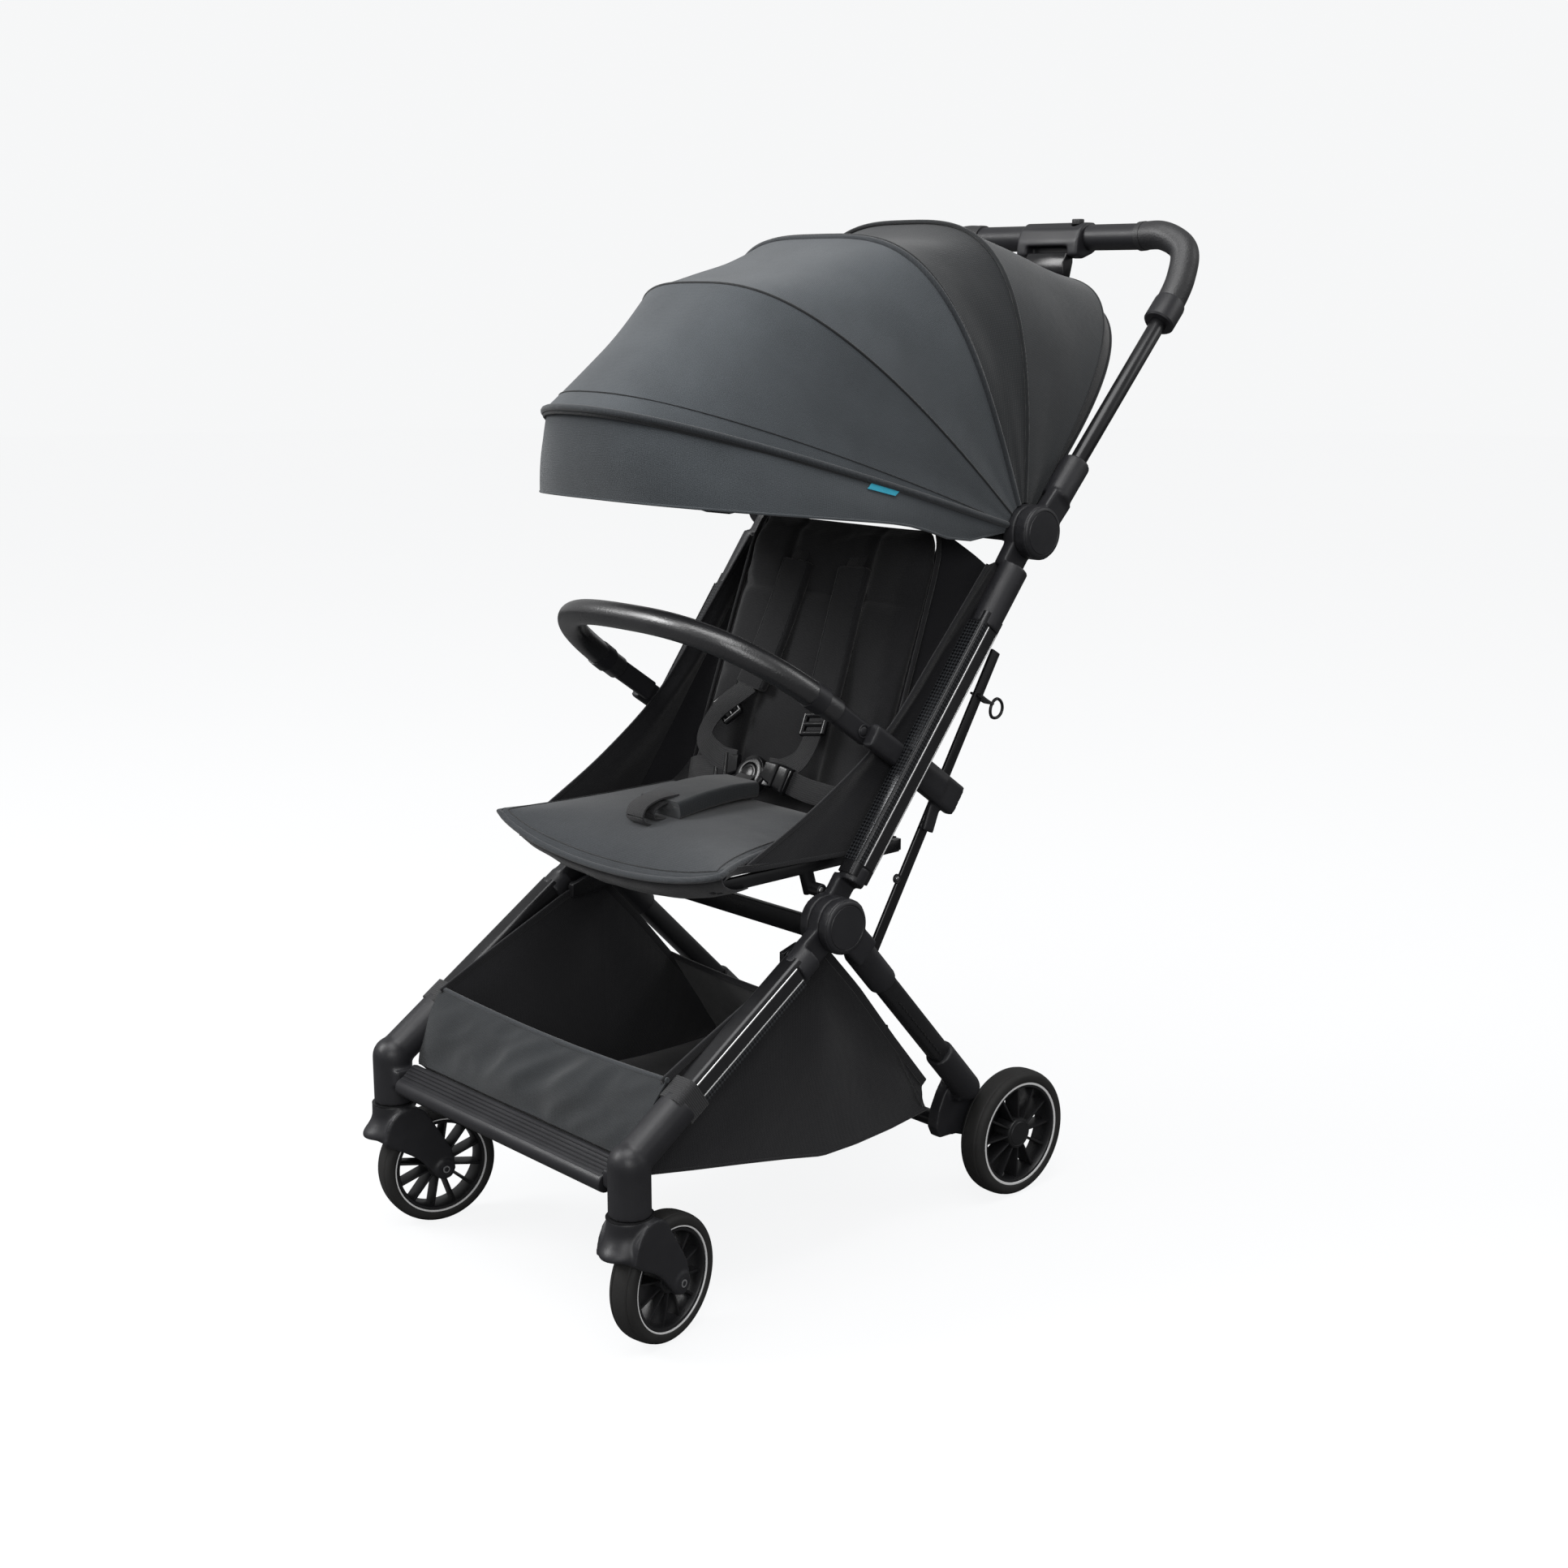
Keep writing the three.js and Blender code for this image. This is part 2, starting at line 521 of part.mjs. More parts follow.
for (const [name, hoop] of Object.entries(HOOPS)) add(name, canopyHoop(hoop), paintedTube);

// Stations of the sheet from its back edge to the visor's lower edge.
const CANOPY_STATIONS = [
  { angle: 46, reach: 334, width: 183, exponent: 3.0 },
  { angle: 51, reach: 337, width: 186, exponent: 3.1 },
  { angle: 69, reach: 318, width: 188.5, exponent: 3.0 },
  { angle: 88, reach: 319, width: 188.5, exponent: 3.2 },
  { angle: 100, reach: 322, width: 188.5, exponent: 3.4 },
  { angle: 112, reach: 325, width: 188.5, exponent: 3.5 },
  { angle: 125, reach: 350, width: 188.5, exponent: 3.1 },
  { angle: 138, reach: 386, width: 188.5, exponent: 2.8 },
  { angle: 151, reach: 424, width: 188.5, exponent: 2.5 },
  { angle: 163, reach: 468, width: 188.5, exponent: 2.3 },
  { angle: 169, reach: 445, width: 188.5, exponent: 2.5 },
  { angle: 175, reach: 420, width: 187.5, exponent: 2.9 },
];

function canopySheet() {
  const across = 20;
  const thick = 4;
  const nearest = 46;
  const surfacePoint = ({ angle, reach, width, exponent }, inset, k) => {
    const start = Math.asin((nearest / reach) ** (exponent / 2));
    const turn = start + ((Math.PI - 2 * start) * k) / across;
    const [c, s] = [Math.cos(turn), Math.sin(turn)];
    const x = (width - inset) * Math.sign(c) * Math.abs(c) ** (2 / exponent);
    const r = (reach - inset) * Math.abs(s) ** (2 / exponent);
    return [x, UPPER_HUB.y + r * Math.cos(radians(angle)), UPPER_HUB.z + r * Math.sin(radians(angle))];
  };
  const rows = CANOPY_STATIONS.length;
  const columns = across + 1;
  const corners = [];
  for (const inset of [0, thick]) {
    for (const station of CANOPY_STATIONS) {
      for (let k = 0; k < columns; k += 1) corners.push(...surfacePoint(station, inset, k));
    }
  }
  const at = (layer, i, k) => layer * rows * columns + i * columns + k;
  const faces = [];
  const quad = (a, b, c, d) => faces.push(a, b, c, a, c, d);
  for (let i = 0; i < rows - 1; i += 1) {
    for (let k = 0; k < across; k += 1) {
      quad(at(0, i, k), at(0, i, k + 1), at(0, i + 1, k + 1), at(0, i + 1, k));
      quad(at(1, i, k), at(1, i + 1, k), at(1, i + 1, k + 1), at(1, i, k + 1));
    }
    quad(at(0, i, 0), at(0, i + 1, 0), at(1, i + 1, 0), at(1, i, 0));
    quad(at(0, i, across), at(1, i, across), at(1, i + 1, across), at(0, i + 1, across));
  }
  for (let k = 0; k < across; k += 1) {
    quad(at(0, 0, k), at(1, 0, k), at(1, 0, k + 1), at(0, 0, k + 1));
    quad(at(0, rows - 1, k), at(0, rows - 1, k + 1), at(1, rows - 1, k + 1), at(1, rows - 1, k));
  }
  const geometry = new THREE.BufferGeometry();
  geometry.setAttribute("position", new THREE.Float32BufferAttribute(corners, 3));
  geometry.setIndex(faces);
  return geometry;
}

add("canopy_sheet", canopySheet(), greyCloth);

// ---- seat: frame, cushion, backrest, sling sides and harness buckle ----
const RAIL_X = 160;

function seatFrame() {
  const [front, rear, z] = [-414, -166, 428];
  const railSection = roundedSection(8, 14, 3, 1);
  const parts = [];
  for (const side of [-1, 1]) {
    parts.push(bar(point(side * RAIL_X, front, z), point(side * RAIL_X, rear, z), railSection));
    parts.push(bar(point(side * RAIL_X, -298, z), point(side * RAIL_X, SEAT_PIVOT.y, SEAT_PIVOT.z - 4),
      roundedSection(8, 16, 3, 1)));
    parts.push(disc(...(side > 0 ? [156, 176] : [-176, -156]), SEAT_PIVOT.y, SEAT_PIVOT.z, 7, 16));
  }
  for (const y of [front, rear]) {
    parts.push(block(-RAIL_X, RAIL_X, y - 6, y + 6, z - 6, z + 6));
  }
  return join(...parts);
}

function seatCushion() {
  const outline = new THREE.Shape([
    [-186, -430], [-160, -438], [0, -440], [160, -438], [186, -430], [184, -414], [160, -360], [150, -300],
    [147, -222], [-147, -222], [-150, -300], [-160, -360], [-184, -414],
  ].map(([x, y]) => new THREE.Vector2(x, y)));
  return new THREE.ExtrudeGeometry(outline, { depth: 20, bevelEnabled: false }).translate(0, 0, 437);
}

const BACKREST_ANGLE = radians(70);
const BACKREST_LENGTH = 325;

function backrest() {
  const root = point(0, RECLINE_PIVOT.y + 12, RECLINE_PIVOT.z + 8);
  const tip = root.clone().add(point(0, BACKREST_LENGTH * Math.cos(BACKREST_ANGLE),
    BACKREST_LENGTH * Math.sin(BACKREST_ANGLE)));
  return bar(root, tip, roundedSection(296, 22, 8));
}

function seatSide() {
  return sidePlate(166, 171, [
    [-66, 706], [-118, 640], [-190, 562], [-275, 498], [-372, 462], [-330, 460], [-215, 460], [-186, 500],
    [-44, 690],
  ]);
}

add("seat_frame", seatFrame(), paintedTube);
add("seat_cushion", seatCushion(), greyCloth);
add("backrest", backrest(), blackCloth);
addPair("seat_side", seatSide(), blackCloth);

const BUCKLE = point(0, -226, 486);
const BUCKLE_TILT = radians(-62);

function buckleShape(radius, thickness, lift) {
  return new THREE.CylinderGeometry(radius, radius, thickness, 20).rotateX(Math.PI / 2).translate(0, 0, lift);
}
const bucklePlace = (geometry) => geometry.rotateX(-BUCKLE_TILT).translate(BUCKLE.x, BUCKLE.y, BUCKLE.z);

const buckleBody = cut(join(buckleShape(21, 12, 0), block(-30, 30, -9, 9, -4, 3)), buckleShape(11 + GAP, 14, 5));
add("buckle", bucklePlace(buckleBody), plastic);
add("buckle_button", bucklePlace(buckleShape(11, 6, 4.5)), plastic);

export default stroller;
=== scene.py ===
"""Looks for the folding baby stroller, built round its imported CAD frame."""
import bmesh
import bpy
import math
from mathutils import Matrix, Vector, noise
from mathutils.bvhtree import BVHTree


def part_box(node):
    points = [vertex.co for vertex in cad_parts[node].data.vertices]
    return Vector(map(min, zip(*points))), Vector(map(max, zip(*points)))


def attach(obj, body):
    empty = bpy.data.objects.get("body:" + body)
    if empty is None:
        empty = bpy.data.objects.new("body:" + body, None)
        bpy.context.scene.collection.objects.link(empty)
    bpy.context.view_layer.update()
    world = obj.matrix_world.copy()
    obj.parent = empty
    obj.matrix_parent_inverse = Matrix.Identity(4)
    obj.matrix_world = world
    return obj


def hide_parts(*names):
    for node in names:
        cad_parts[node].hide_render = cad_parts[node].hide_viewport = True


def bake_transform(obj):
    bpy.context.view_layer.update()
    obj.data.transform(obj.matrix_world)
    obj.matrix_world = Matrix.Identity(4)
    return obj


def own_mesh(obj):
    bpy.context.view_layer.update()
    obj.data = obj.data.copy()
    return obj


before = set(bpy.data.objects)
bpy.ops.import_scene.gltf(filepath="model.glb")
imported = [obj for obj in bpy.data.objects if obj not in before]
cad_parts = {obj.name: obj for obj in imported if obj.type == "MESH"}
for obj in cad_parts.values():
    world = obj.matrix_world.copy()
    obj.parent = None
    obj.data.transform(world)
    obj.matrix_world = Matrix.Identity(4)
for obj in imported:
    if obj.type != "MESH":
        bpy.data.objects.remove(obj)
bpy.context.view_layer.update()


def middle(node):
    low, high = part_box(node)
    return (low + high) / 2


REAR_AXLE_Y = middle("rear_tyre_left").y


def at(x, y, z):
    """A point in the row frame, from millimetres with y measured from the rear axle."""
    return Vector((x / 1000, y / 1000 + REAR_AXLE_Y, z / 1000))


def mirror(point):
    return Vector((-point.x, point.y, point.z))


def sided(point, sign):
    return point if sign > 0 else mirror(point)


def wander(x, y, z):
    """Smooth noise between about -1 and 1, the same for the same place."""
    return noise.noise(Vector((x, y, z)))


def turns(start, count):
    """Angles from just past one root of an arch to just before the other."""
    return [start + (math.pi - 2 * start) * k / count for k in range(count + 1)]


def arch_point(root, lean, reach, width, power, turn):
    """A point on a leaning superellipse; turn runs from its +X root over the top to its -X root."""
    c, s = math.cos(turn), math.sin(turn)
    x = width * math.copysign(abs(c) ** (2 / power), c)
    r = reach * abs(s) ** (2 / power)
    return at(x, root[0] + r * math.cos(lean), root[1] + r * math.sin(lean))


SIDES = (("left", 1), ("right", -1))
SIDEWAYS, REARWARDS, UP = Vector((1, 0, 0)), Vector((0, 1, 0)), Vector((0, 0, 1))
LOWER_HUB = (-294, 376)
UPPER_HUB = (-12, 748)


# ---------------------------------------------------------------- materials

SLOTS = {}  # material name: the part slot its pieces belong to


class Paint:
    """A small helper that wires one procedural material."""

    def __init__(self, name, coords="Object"):
        self.material = bpy.data.materials.new(name)
        self.material.use_nodes = True
        self.tree = self.material.node_tree
        self.tree.nodes.clear()
        output = self.node("ShaderNodeOutputMaterial")
        self.shader = self.node("ShaderNodeBsdfPrincipled")
        self.join(self.shader.outputs["BSDF"], output.inputs["Surface"])
        self.coords = self.node("ShaderNodeTexCoord").outputs[coords]

    def node(self, kind, **values):
        made = self.tree.nodes.new(kind)
        for key, value in values.items():
            setattr(made, key, value)
        return made

    def join(self, source, target):
        self.tree.links.new(source, target)

    def set(self, **values):
        for key, value in values.items():
            self.shader.inputs[key.replace("_", " ")].default_value = value
        return self

    def noise(self, scale, detail=3.0, roughness=0.6):
        made = self.node("ShaderNodeTexNoise")
        self.join(self.coords, made.inputs["Vector"])
        made.inputs["Scale"].default_value = scale
        made.inputs["Detail"].default_value = detail
        made.inputs["Roughness"].default_value = roughness
        return made.outputs["Fac"]

    def wave(self, direction, pitch, distortion=0.0):
        made = self.node("ShaderNodeTexWave", wave_type="BANDS", bands_direction=direction)
        self.join(self.coords, made.inputs["Vector"])
        made.inputs["Scale"].default_value = 0.314 / pitch
        made.inputs["Distortion"].default_value = distortion
        return made.outputs["Fac"]

    def cells(self, scale):
        made = self.node("ShaderNodeTexVoronoi", feature="SMOOTH_F1")
        self.join(self.coords, made.inputs["Vector"])
        made.inputs["Scale"].default_value = scale
        return made.outputs["Distance"]

    def math(self, operation, first, second):
        made = self.node("ShaderNodeMath", operation=operation)
        for socket, value in zip(made.inputs, (first, second)):
            if isinstance(value, (int, float)):
                socket.default_value = value
            else:
                self.join(value, socket)
        return made.outputs[0]

    def spread(self, value, low, high, to_low=0.0, to_high=1.0):
        made = self.node("ShaderNodeMapRange")
        self.join(value, made.inputs["Value"])
        for key, number in (("From Min", low), ("From Max", high), ("To Min", to_low), ("To Max", to_high)):
            made.inputs[key].default_value = number
        return made.outputs["Result"]

    def blend_colours(self, share, dark, light):
        made = self.node("ShaderNodeMix", data_type="RGBA")
        self.join(share, made.inputs["Factor"])
        made.inputs["A"].default_value = (*dark, 1)
        made.inputs["B"].default_value = (*light, 1)
        return made.outputs["Result"]

    def colour(self, share, dark, light):
        self.join(self.blend_colours(share, dark, light), self.shader.inputs["Base Color"])

    def roughness(self, share, low, high):
        self.join(self.spread(share, 0.3, 0.7, low, high), self.shader.inputs["Roughness"])

    def relief(self, height, depth, strength=1.0):
        bump = self.node("ShaderNodeBump")
        bump.inputs["Strength"].default_value = strength
        bump.inputs["Distance"].default_value = depth
        self.join(height, bump.inputs["Height"])
        self.join(bump.outputs["Normal"], self.shader.inputs["Normal"])


def cloth(name, dark, light, coords="UV", threads=("X", "Y"), pitch=0.0016, sheen=0.25):
    """Plain-woven fabric: two crossing sets of threads, a melange of fibres, faint creases."""
    paint = Paint(name, coords)
    warp = paint.wave(threads[0], pitch, 0.6)
    weft = paint.wave(threads[1], pitch, 0.6)
    weave = paint.math("MULTIPLY", warp, weft)
    fibres = paint.noise(1100, 2.0)
    broad = paint.noise(9, 4.0)
    flecks = paint.spread(fibres, 0.35, 0.65, 0.0, 0.5)
    mottled = paint.math("ADD", flecks, paint.math("MULTIPLY", weave, 0.25))
    tone = paint.math("ADD", mottled, paint.spread(broad, 0.3, 0.7, 0.0, 0.25))
    paint.colour(tone, dark, light)
    paint.roughness(fibres, 0.82, 0.96)
    creases = paint.math("MULTIPLY", paint.noise(28, 3.0, 0.5), 2.2)
    height = paint.math("ADD", paint.math("MULTIPLY", weave, 0.5), paint.math("MULTIPLY", fibres, 0.4))
    paint.relief(paint.math("ADD", height, creases), 0.0006, 0.55)
    paint.set(Sheen_Weight=sheen, Sheen_Roughness=0.5, Specular_IOR_Level=0.25)
    return paint.material


def moulded(name, dark, light, low=0.42, high=0.58, grain=1500):
    """Moulded plastic: a fine spark-eroded grain and faint handling marks."""
    paint = Paint(name)
    fine = paint.noise(grain, 2.0)
    broad = paint.noise(22, 4.0)
    paint.colour(broad, dark, light)
    paint.roughness(broad, low, high)
    paint.relief(fine, 0.00012, 0.5)
    paint.set(Specular_IOR_Level=0.45)
    return paint.material


def lacquered(name, dark, light, low=0.26, high=0.36, metallic=0.35):
    """Powder-coated tube: slight orange peel under a soft gloss."""
    paint = Paint(name)
    broad = paint.noise(30, 4.0)
    paint.colour(broad, dark, light)
    paint.roughness(broad, low, high)
    paint.relief(paint.noise(420, 2.0), 0.00008, 0.5)
    paint.set(Metallic=metallic, Coat_Weight=0.25, Coat_Roughness=0.2)
    return paint.material


def twill(name):
    """Gloss tube with a woven twill pattern under the lacquer."""
    paint = Paint(name, "UV")
    slant = paint.node("ShaderNodeMapping")
    slant.inputs["Rotation"].default_value = (0, 0, math.radians(45))
    paint.join(paint.coords, slant.inputs["Vector"])
    check = paint.node("ShaderNodeTexChecker")
    paint.join(slant.outputs["Vector"], check.inputs["Vector"])
    check.inputs["Scale"].default_value = 360
    strands = paint.wave("X", 0.0007)
    tone = paint.math("MULTIPLY", check.outputs["Fac"], paint.spread(strands, 0, 1, 0.6, 1.0))
    paint.colour(tone, (0.005, 0.005, 0.006), (0.050, 0.053, 0.058))
    paint.roughness(tone, 0.3, 0.22)
    paint.relief(tone, 0.00005, 0.15)
    paint.set(Metallic=0.3, Coat_Weight=0.4, Coat_Roughness=0.15)
    return paint.material


def leatherette(name, low, high, coat):
    """Padded leather-look cover: small pebbled cells with a soft sheen."""
    paint = Paint(name)
    cells = paint.cells(620)
    broad = paint.noise(30, 3.0)
    paint.colour(broad, (0.010, 0.010, 0.011), (0.020, 0.020, 0.022))
    paint.roughness(broad, low, high)
    height = paint.math("ADD", cells, paint.math("MULTIPLY", paint.noise(160, 2.0), 0.8))
    paint.relief(height, 0.0005, 0.5)
    paint.set(Specular_IOR_Level=0.6, Coat_Weight=coat, Coat_Roughness=0.33)
    return paint.material


def tyre_rubber(name):
    paint = Paint(name)
    broad = paint.noise(35, 5.0)
    paint.colour(broad, (0.010, 0.010, 0.010), (0.022, 0.021, 0.020))
    paint.roughness(broad, 0.62, 0.82)
    paint.relief(paint.noise(800, 3.0), 0.00025, 0.5)
    return paint.material


def metal(name, tone=0.6, low=0.2, high=0.34, metallic=1.0):
    paint = Paint(name)
    brush = paint.noise(900, 2.0)
    paint.colour(brush, (tone * 0.85,) * 3, (tone,) * 3)
    paint.roughness(brush, low, high)
    paint.relief(brush, 0.00005, 0.3)
    paint.set(Metallic=metallic)
    return paint.material


def webbing(name, dark=(0.008, 0.008, 0.009), light=(0.03, 0.03, 0.033)):
    """Woven strap: coarse ribs along its length, close picks across."""
    paint = Paint(name, "UV")
    ribs = paint.wave("Y", 0.0022)
    picks = paint.wave("X", 0.0012)
    weave = paint.math("MULTIPLY", ribs, picks)
    paint.colour(weave, dark, light)
    paint.roughness(paint.noise(600), 0.6, 0.78)
    paint.relief(weave, 0.0005, 0.7)
    paint.set(Sheen_Weight=0.15)
    return paint.material


def placed(name, data):
    """A new object in the scene."""
    made = bpy.data.objects.new(name, data)
    bpy.context.scene.collection.objects.link(made)
    return made


def in_slot(slot, material):
    SLOTS[material.name] = slot
    return material


CHARCOAL = in_slot("grey_cloth", cloth("charcoal_cloth", (0.028, 0.032, 0.036), (0.092, 0.104, 0.115)))
# The charcoal cloth darkened as painted shade, for the rear panel, the crotch pad and the basket front,
# which lie in shade.
CHARCOAL_PAINTED_SHADE = in_slot("grey_cloth",
                        cloth("charcoal_painted_shade_cloth", (0.011, 0.0125, 0.014), (0.036, 0.040, 0.044)))
CHARCOAL_PAD = in_slot("grey_cloth",
                       cloth("charcoal_pad_cloth", (0.016, 0.018, 0.0205), (0.053, 0.059, 0.066),
                                           "Object"))
PIPING = in_slot("grey_cloth", cloth("piping_cloth", (0.008, 0.009, 0.010), (0.026, 0.028, 0.030), "Object",
                                     pitch=0.001))
TAG = in_slot("grey_cloth", cloth("tag_cloth", (0.02, 0.28, 0.42), (0.05, 0.50, 0.66), pitch=0.0008))
BLACK_CLOTH = in_slot("black_cloth", cloth("black_cloth", (0.004, 0.004, 0.005), (0.018, 0.018, 0.021)))
BLACK_PAD = in_slot("black_cloth",
                    cloth("black_pad_cloth", (0.007, 0.007, 0.008), (0.026, 0.026, 0.028), "Object",
                                         ("X", "Z")))
MESH_CLOTH = in_slot("black_cloth", cloth("dark_panel_cloth", (0.006, 0.007, 0.008), (0.022, 0.025, 0.028),
                                          pitch=0.0024))
STRAP = in_slot("black_cloth", webbing("strap_webbing"))
PLASTIC = in_slot("plastic",
                  moulded("frame_plastic", (0.013, 0.013, 0.015), (0.022, 0.022, 0.025), 0.36, 0.5))
RIM_PLASTIC = in_slot("rim",
                      moulded("rim_plastic", (0.008, 0.008, 0.009), (0.014, 0.014, 0.015), 0.32, 0.45))
GLOSS_PLASTIC = in_slot("plastic",
                        moulded("buckle_plastic", (0.006, 0.006, 0.007), (0.012, 0.012, 0.013), 0.15, 0.28))
TUBE = in_slot("painted_tube", lacquered("satin_tube", (0.010, 0.010, 0.011), (0.018, 0.018, 0.020)))
FACE = in_slot("side_profile",
               lacquered("satin_face", (0.012, 0.012, 0.013), (0.022, 0.022, 0.024), 0.3, 0.42, 0.2))
TWILL = in_slot("side_profile", twill("twill_tube"))
LEATHER = in_slot("soft_grip", leatherette("grip_leather", 0.46, 0.58, 0.15))
BUMPER_LEATHER = in_slot("soft_grip", leatherette("bumper_leather", 0.26, 0.36, 1.0))
RUBBER = in_slot("tyre", tyre_rubber("tyre_rubber"))
# A near-white non-metal: the rings' own silver plus painted reflection in the base colour, standing in for
# the bright surroundings a metal would mirror.
SILVER_WITH_PAINTED_REFLECTION = in_slot("steel", metal("ring_silver_with_painted_reflection", 0.9, 0.3, 0.42, 0.0))
# Half metal over a light grey base: the lines' own silver plus painted reflection in the base colour.
EDGE_LINE_WITH_PAINTED_REFLECTION = in_slot("steel", metal("edge_line_with_painted_reflection", 0.7, 0.2, 0.3, 0.45))
STEEL = in_slot("steel", metal("bolt_metal", 0.35))


# ---------------------------------------------------------------- mesh tools

def make(name, points, faces, material, body, uvs=None, smooth_angle=40, slot=None):
    """A new piece riding on a body; the slot argument is not used. uvs maps a vertex to its
    place on the flat cloth, in metres."""
    mesh = bpy.data.meshes.new(name)
    mesh.from_pydata([tuple(p) for p in points], [], faces)
    piece = placed(name, mesh)
    if uvs:
        layer = mesh.uv_layers.new(name="flat")
        for loop in mesh.loops:
            layer.data[loop.index].uv = uvs[loop.vertex_index]
    mesh.validate()
    smooth(mesh, smooth_angle)
    mesh.materials.append(material)
    if body:
        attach(piece, body)
    slot or SLOTS[material.name]
    return piece


def smooth(mesh, angle):
    mesh.polygons.foreach_set("use_smooth", [True] * len(mesh.polygons))
    mesh.set_sharp_from_angle(angle=math.radians(angle))


def outward(mesh):
    work = bmesh.new()
    work.from_mesh(mesh)
    bmesh.ops.recalc_face_normals(work, faces=work.faces)
    work.to_mesh(mesh)
    work.free()


def settle(piece):
    """Writes a piece's modifiers into its mesh."""
    graph = bpy.context.evaluated_depsgraph_get()
    done = bpy.data.meshes.new_from_object(piece.evaluated_get(graph))
    piece.modifiers.clear()
    piece.data = done
    return piece


def circle(radius, sides=20):
    steps = [2 * math.pi * k / sides for k in range(sides)]
    return [(radius * math.cos(a), radius * math.sin(a)) for a in steps]


def rounded(width, depth, radius, steps=4):
    """A rounded rectangle's outline, width along the first axis."""
    outline = []
    for quarter, (sx, sy) in enumerate(((1, 1), (-1, 1), (-1, -1), (1, -1))):
        for k in range(steps + 1):
            a = math.pi / 2 * (quarter + k / steps)
            outline.append((sx * (width / 2 - radius) + radius * math.cos(a),
                            sy * (depth / 2 - radius) + radius * math.sin(a)))
    return outline


def smooth_path(points, count):
    """A centripetal Catmull-Rom curve through the points, cut into equal parameter steps."""
    ends = [points[0] * 2 - points[1], *points, points[-1] * 2 - points[-2]]
    made = []
    spans = len(points) - 1
    for k in range(count + 1):
        place = min(k * spans / count, spans - 1e-6)
        i, t = int(place), place - int(place)
        p = ends[i:i + 4]
        knots = [0.0]
        for a, b in zip(p, p[1:]):
            knots.append(knots[-1] + max((b - a).length, 1e-6) ** 0.5)
        t = knots[1] + (knots[2] - knots[1]) * t
        a1 = p[0].lerp(p[1], (t - knots[0]) / (knots[1] - knots[0]))
        a2 = p[1].lerp(p[2], (t - knots[1]) / (knots[2] - knots[1]))
        a3 = p[2].lerp(p[3], (t - knots[2]) / (knots[3] - knots[2]))
        b1 = a1.lerp(a2, (t - knots[0]) / (knots[2] - knots[0]))
        b2 = a2.lerp(a3, (t - knots[1]) / (knots[3] - knots[1]))
        made.append(b1.lerp(b2, (t - knots[1]) / (knots[2] - knots[1])))
    return made


def sweep(name, path, ring, material, body, up, caps=True, scale=None, smooth_angle=40, slot=None):
    """A bar of one outline along a path. The outline's first axis lies across both the path and up."""
    points, uvs, faces = [], [], []
    along, sides = 0.0, len(ring)
    around = [0.0]
    for a, b in zip(ring, ring[1:]):
        around.append(around[-1] + math.dist(a, b))
    for k, centre in enumerate(path):
        before, after = path[max(k - 1, 0)], path[min(k + 1, len(path) - 1)]
        tangent = (after - before).normalized()
        across = tangent.cross(up).normalized()
        lift = across.cross(tangent).normalized()
        size = scale(k / (len(path) - 1)) if scale else 1.0
        along += (centre - path[k - 1]).length if k else 0.0
        for (u, v), turn in zip(ring, around):
            points.append(centre + across * (u / 1000 * size) + lift * (v / 1000 * size))
            uvs.append((along, turn / 1000))
    for k in range(len(path) - 1):
        for j in range(sides):
            following = (j + 1) % sides
            faces.append((k * sides + j, k * sides + following, (k + 1) * sides + following,
                          (k + 1) * sides + j))
    if caps:
        faces.append(tuple(reversed(range(sides))))
        faces.append(tuple(range((len(path) - 1) * sides, len(path) * sides)))
    piece = make(name, points, faces, material, body, uvs, smooth_angle, slot)
    outward(piece.data)
    return piece


def rod(name, start, end, ring, material, body, up=SIDEWAYS, steps=2, **more):
    path = [start.lerp(end, k / steps) for k in range(steps + 1)]
    return sweep(name, path, ring, material, body, up, **more)


def surface(name, rows, material, body, thickness=1.6, smooth_angle=60, subdivide=0):
    """A sheet through rows of points, with its thickness and its flat cloth map."""
    count = len(rows[0])
    points = [point for row in rows for point in row]
    uvs, down = [], [0.0] * count
    for i, row in enumerate(rows):
        across = 0.0
        for k, point in enumerate(row):
            across += (point - row[k - 1]).length if k else 0.0
            down[k] += (point - rows[i - 1][k]).length if i else 0.0
            uvs.append((across, down[k]))
    faces = [(i * count + k, i * count + k + 1, (i + 1) * count + k + 1, (i + 1) * count + k)
             for i in range(len(rows) - 1) for k in range(count - 1)]
    piece = make(name, points, faces, material, None, uvs, smooth_angle)
    if subdivide:
        piece.modifiers.new("smooth", "SUBSURF").levels = subdivide
    shell = piece.modifiers.new("thickness", "SOLIDIFY")
    shell.thickness = thickness / 1000
    shell.offset = 0
    settle(piece)
    outward(piece.data)
    smooth(piece.data, smooth_angle)
    if body:
        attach(piece, body)
    return piece


def route_length(points):
    return sum((b - a).length for a, b in zip(points, points[1:]))


def cloth_sheet(name, rows, material, body=None, held="stretched", **finish):
    """A cloth surface; its longest row and longest column are measured."""
    piece = surface(name, rows, material, body, **finish)
    width = max(route_length(row) for row in rows)
    length = max(route_length(column) for column in zip(*rows))
    return piece


def both_sides(rows):
    """The rows of a left-hand sheet and their mirror image, each with the name of its side."""
    for name, sign in SIDES:
        yield name, [[sided(point, sign) for point in row] for row in rows]


def grid(down, across, place, first=-1):
    """Rows of points: place takes the share down the cloth and the place across it, from first to 1."""
    return [[place(i / down, first + (1 - first) * k / across) for k in range(across + 1)]
            for i in range(down + 1)]


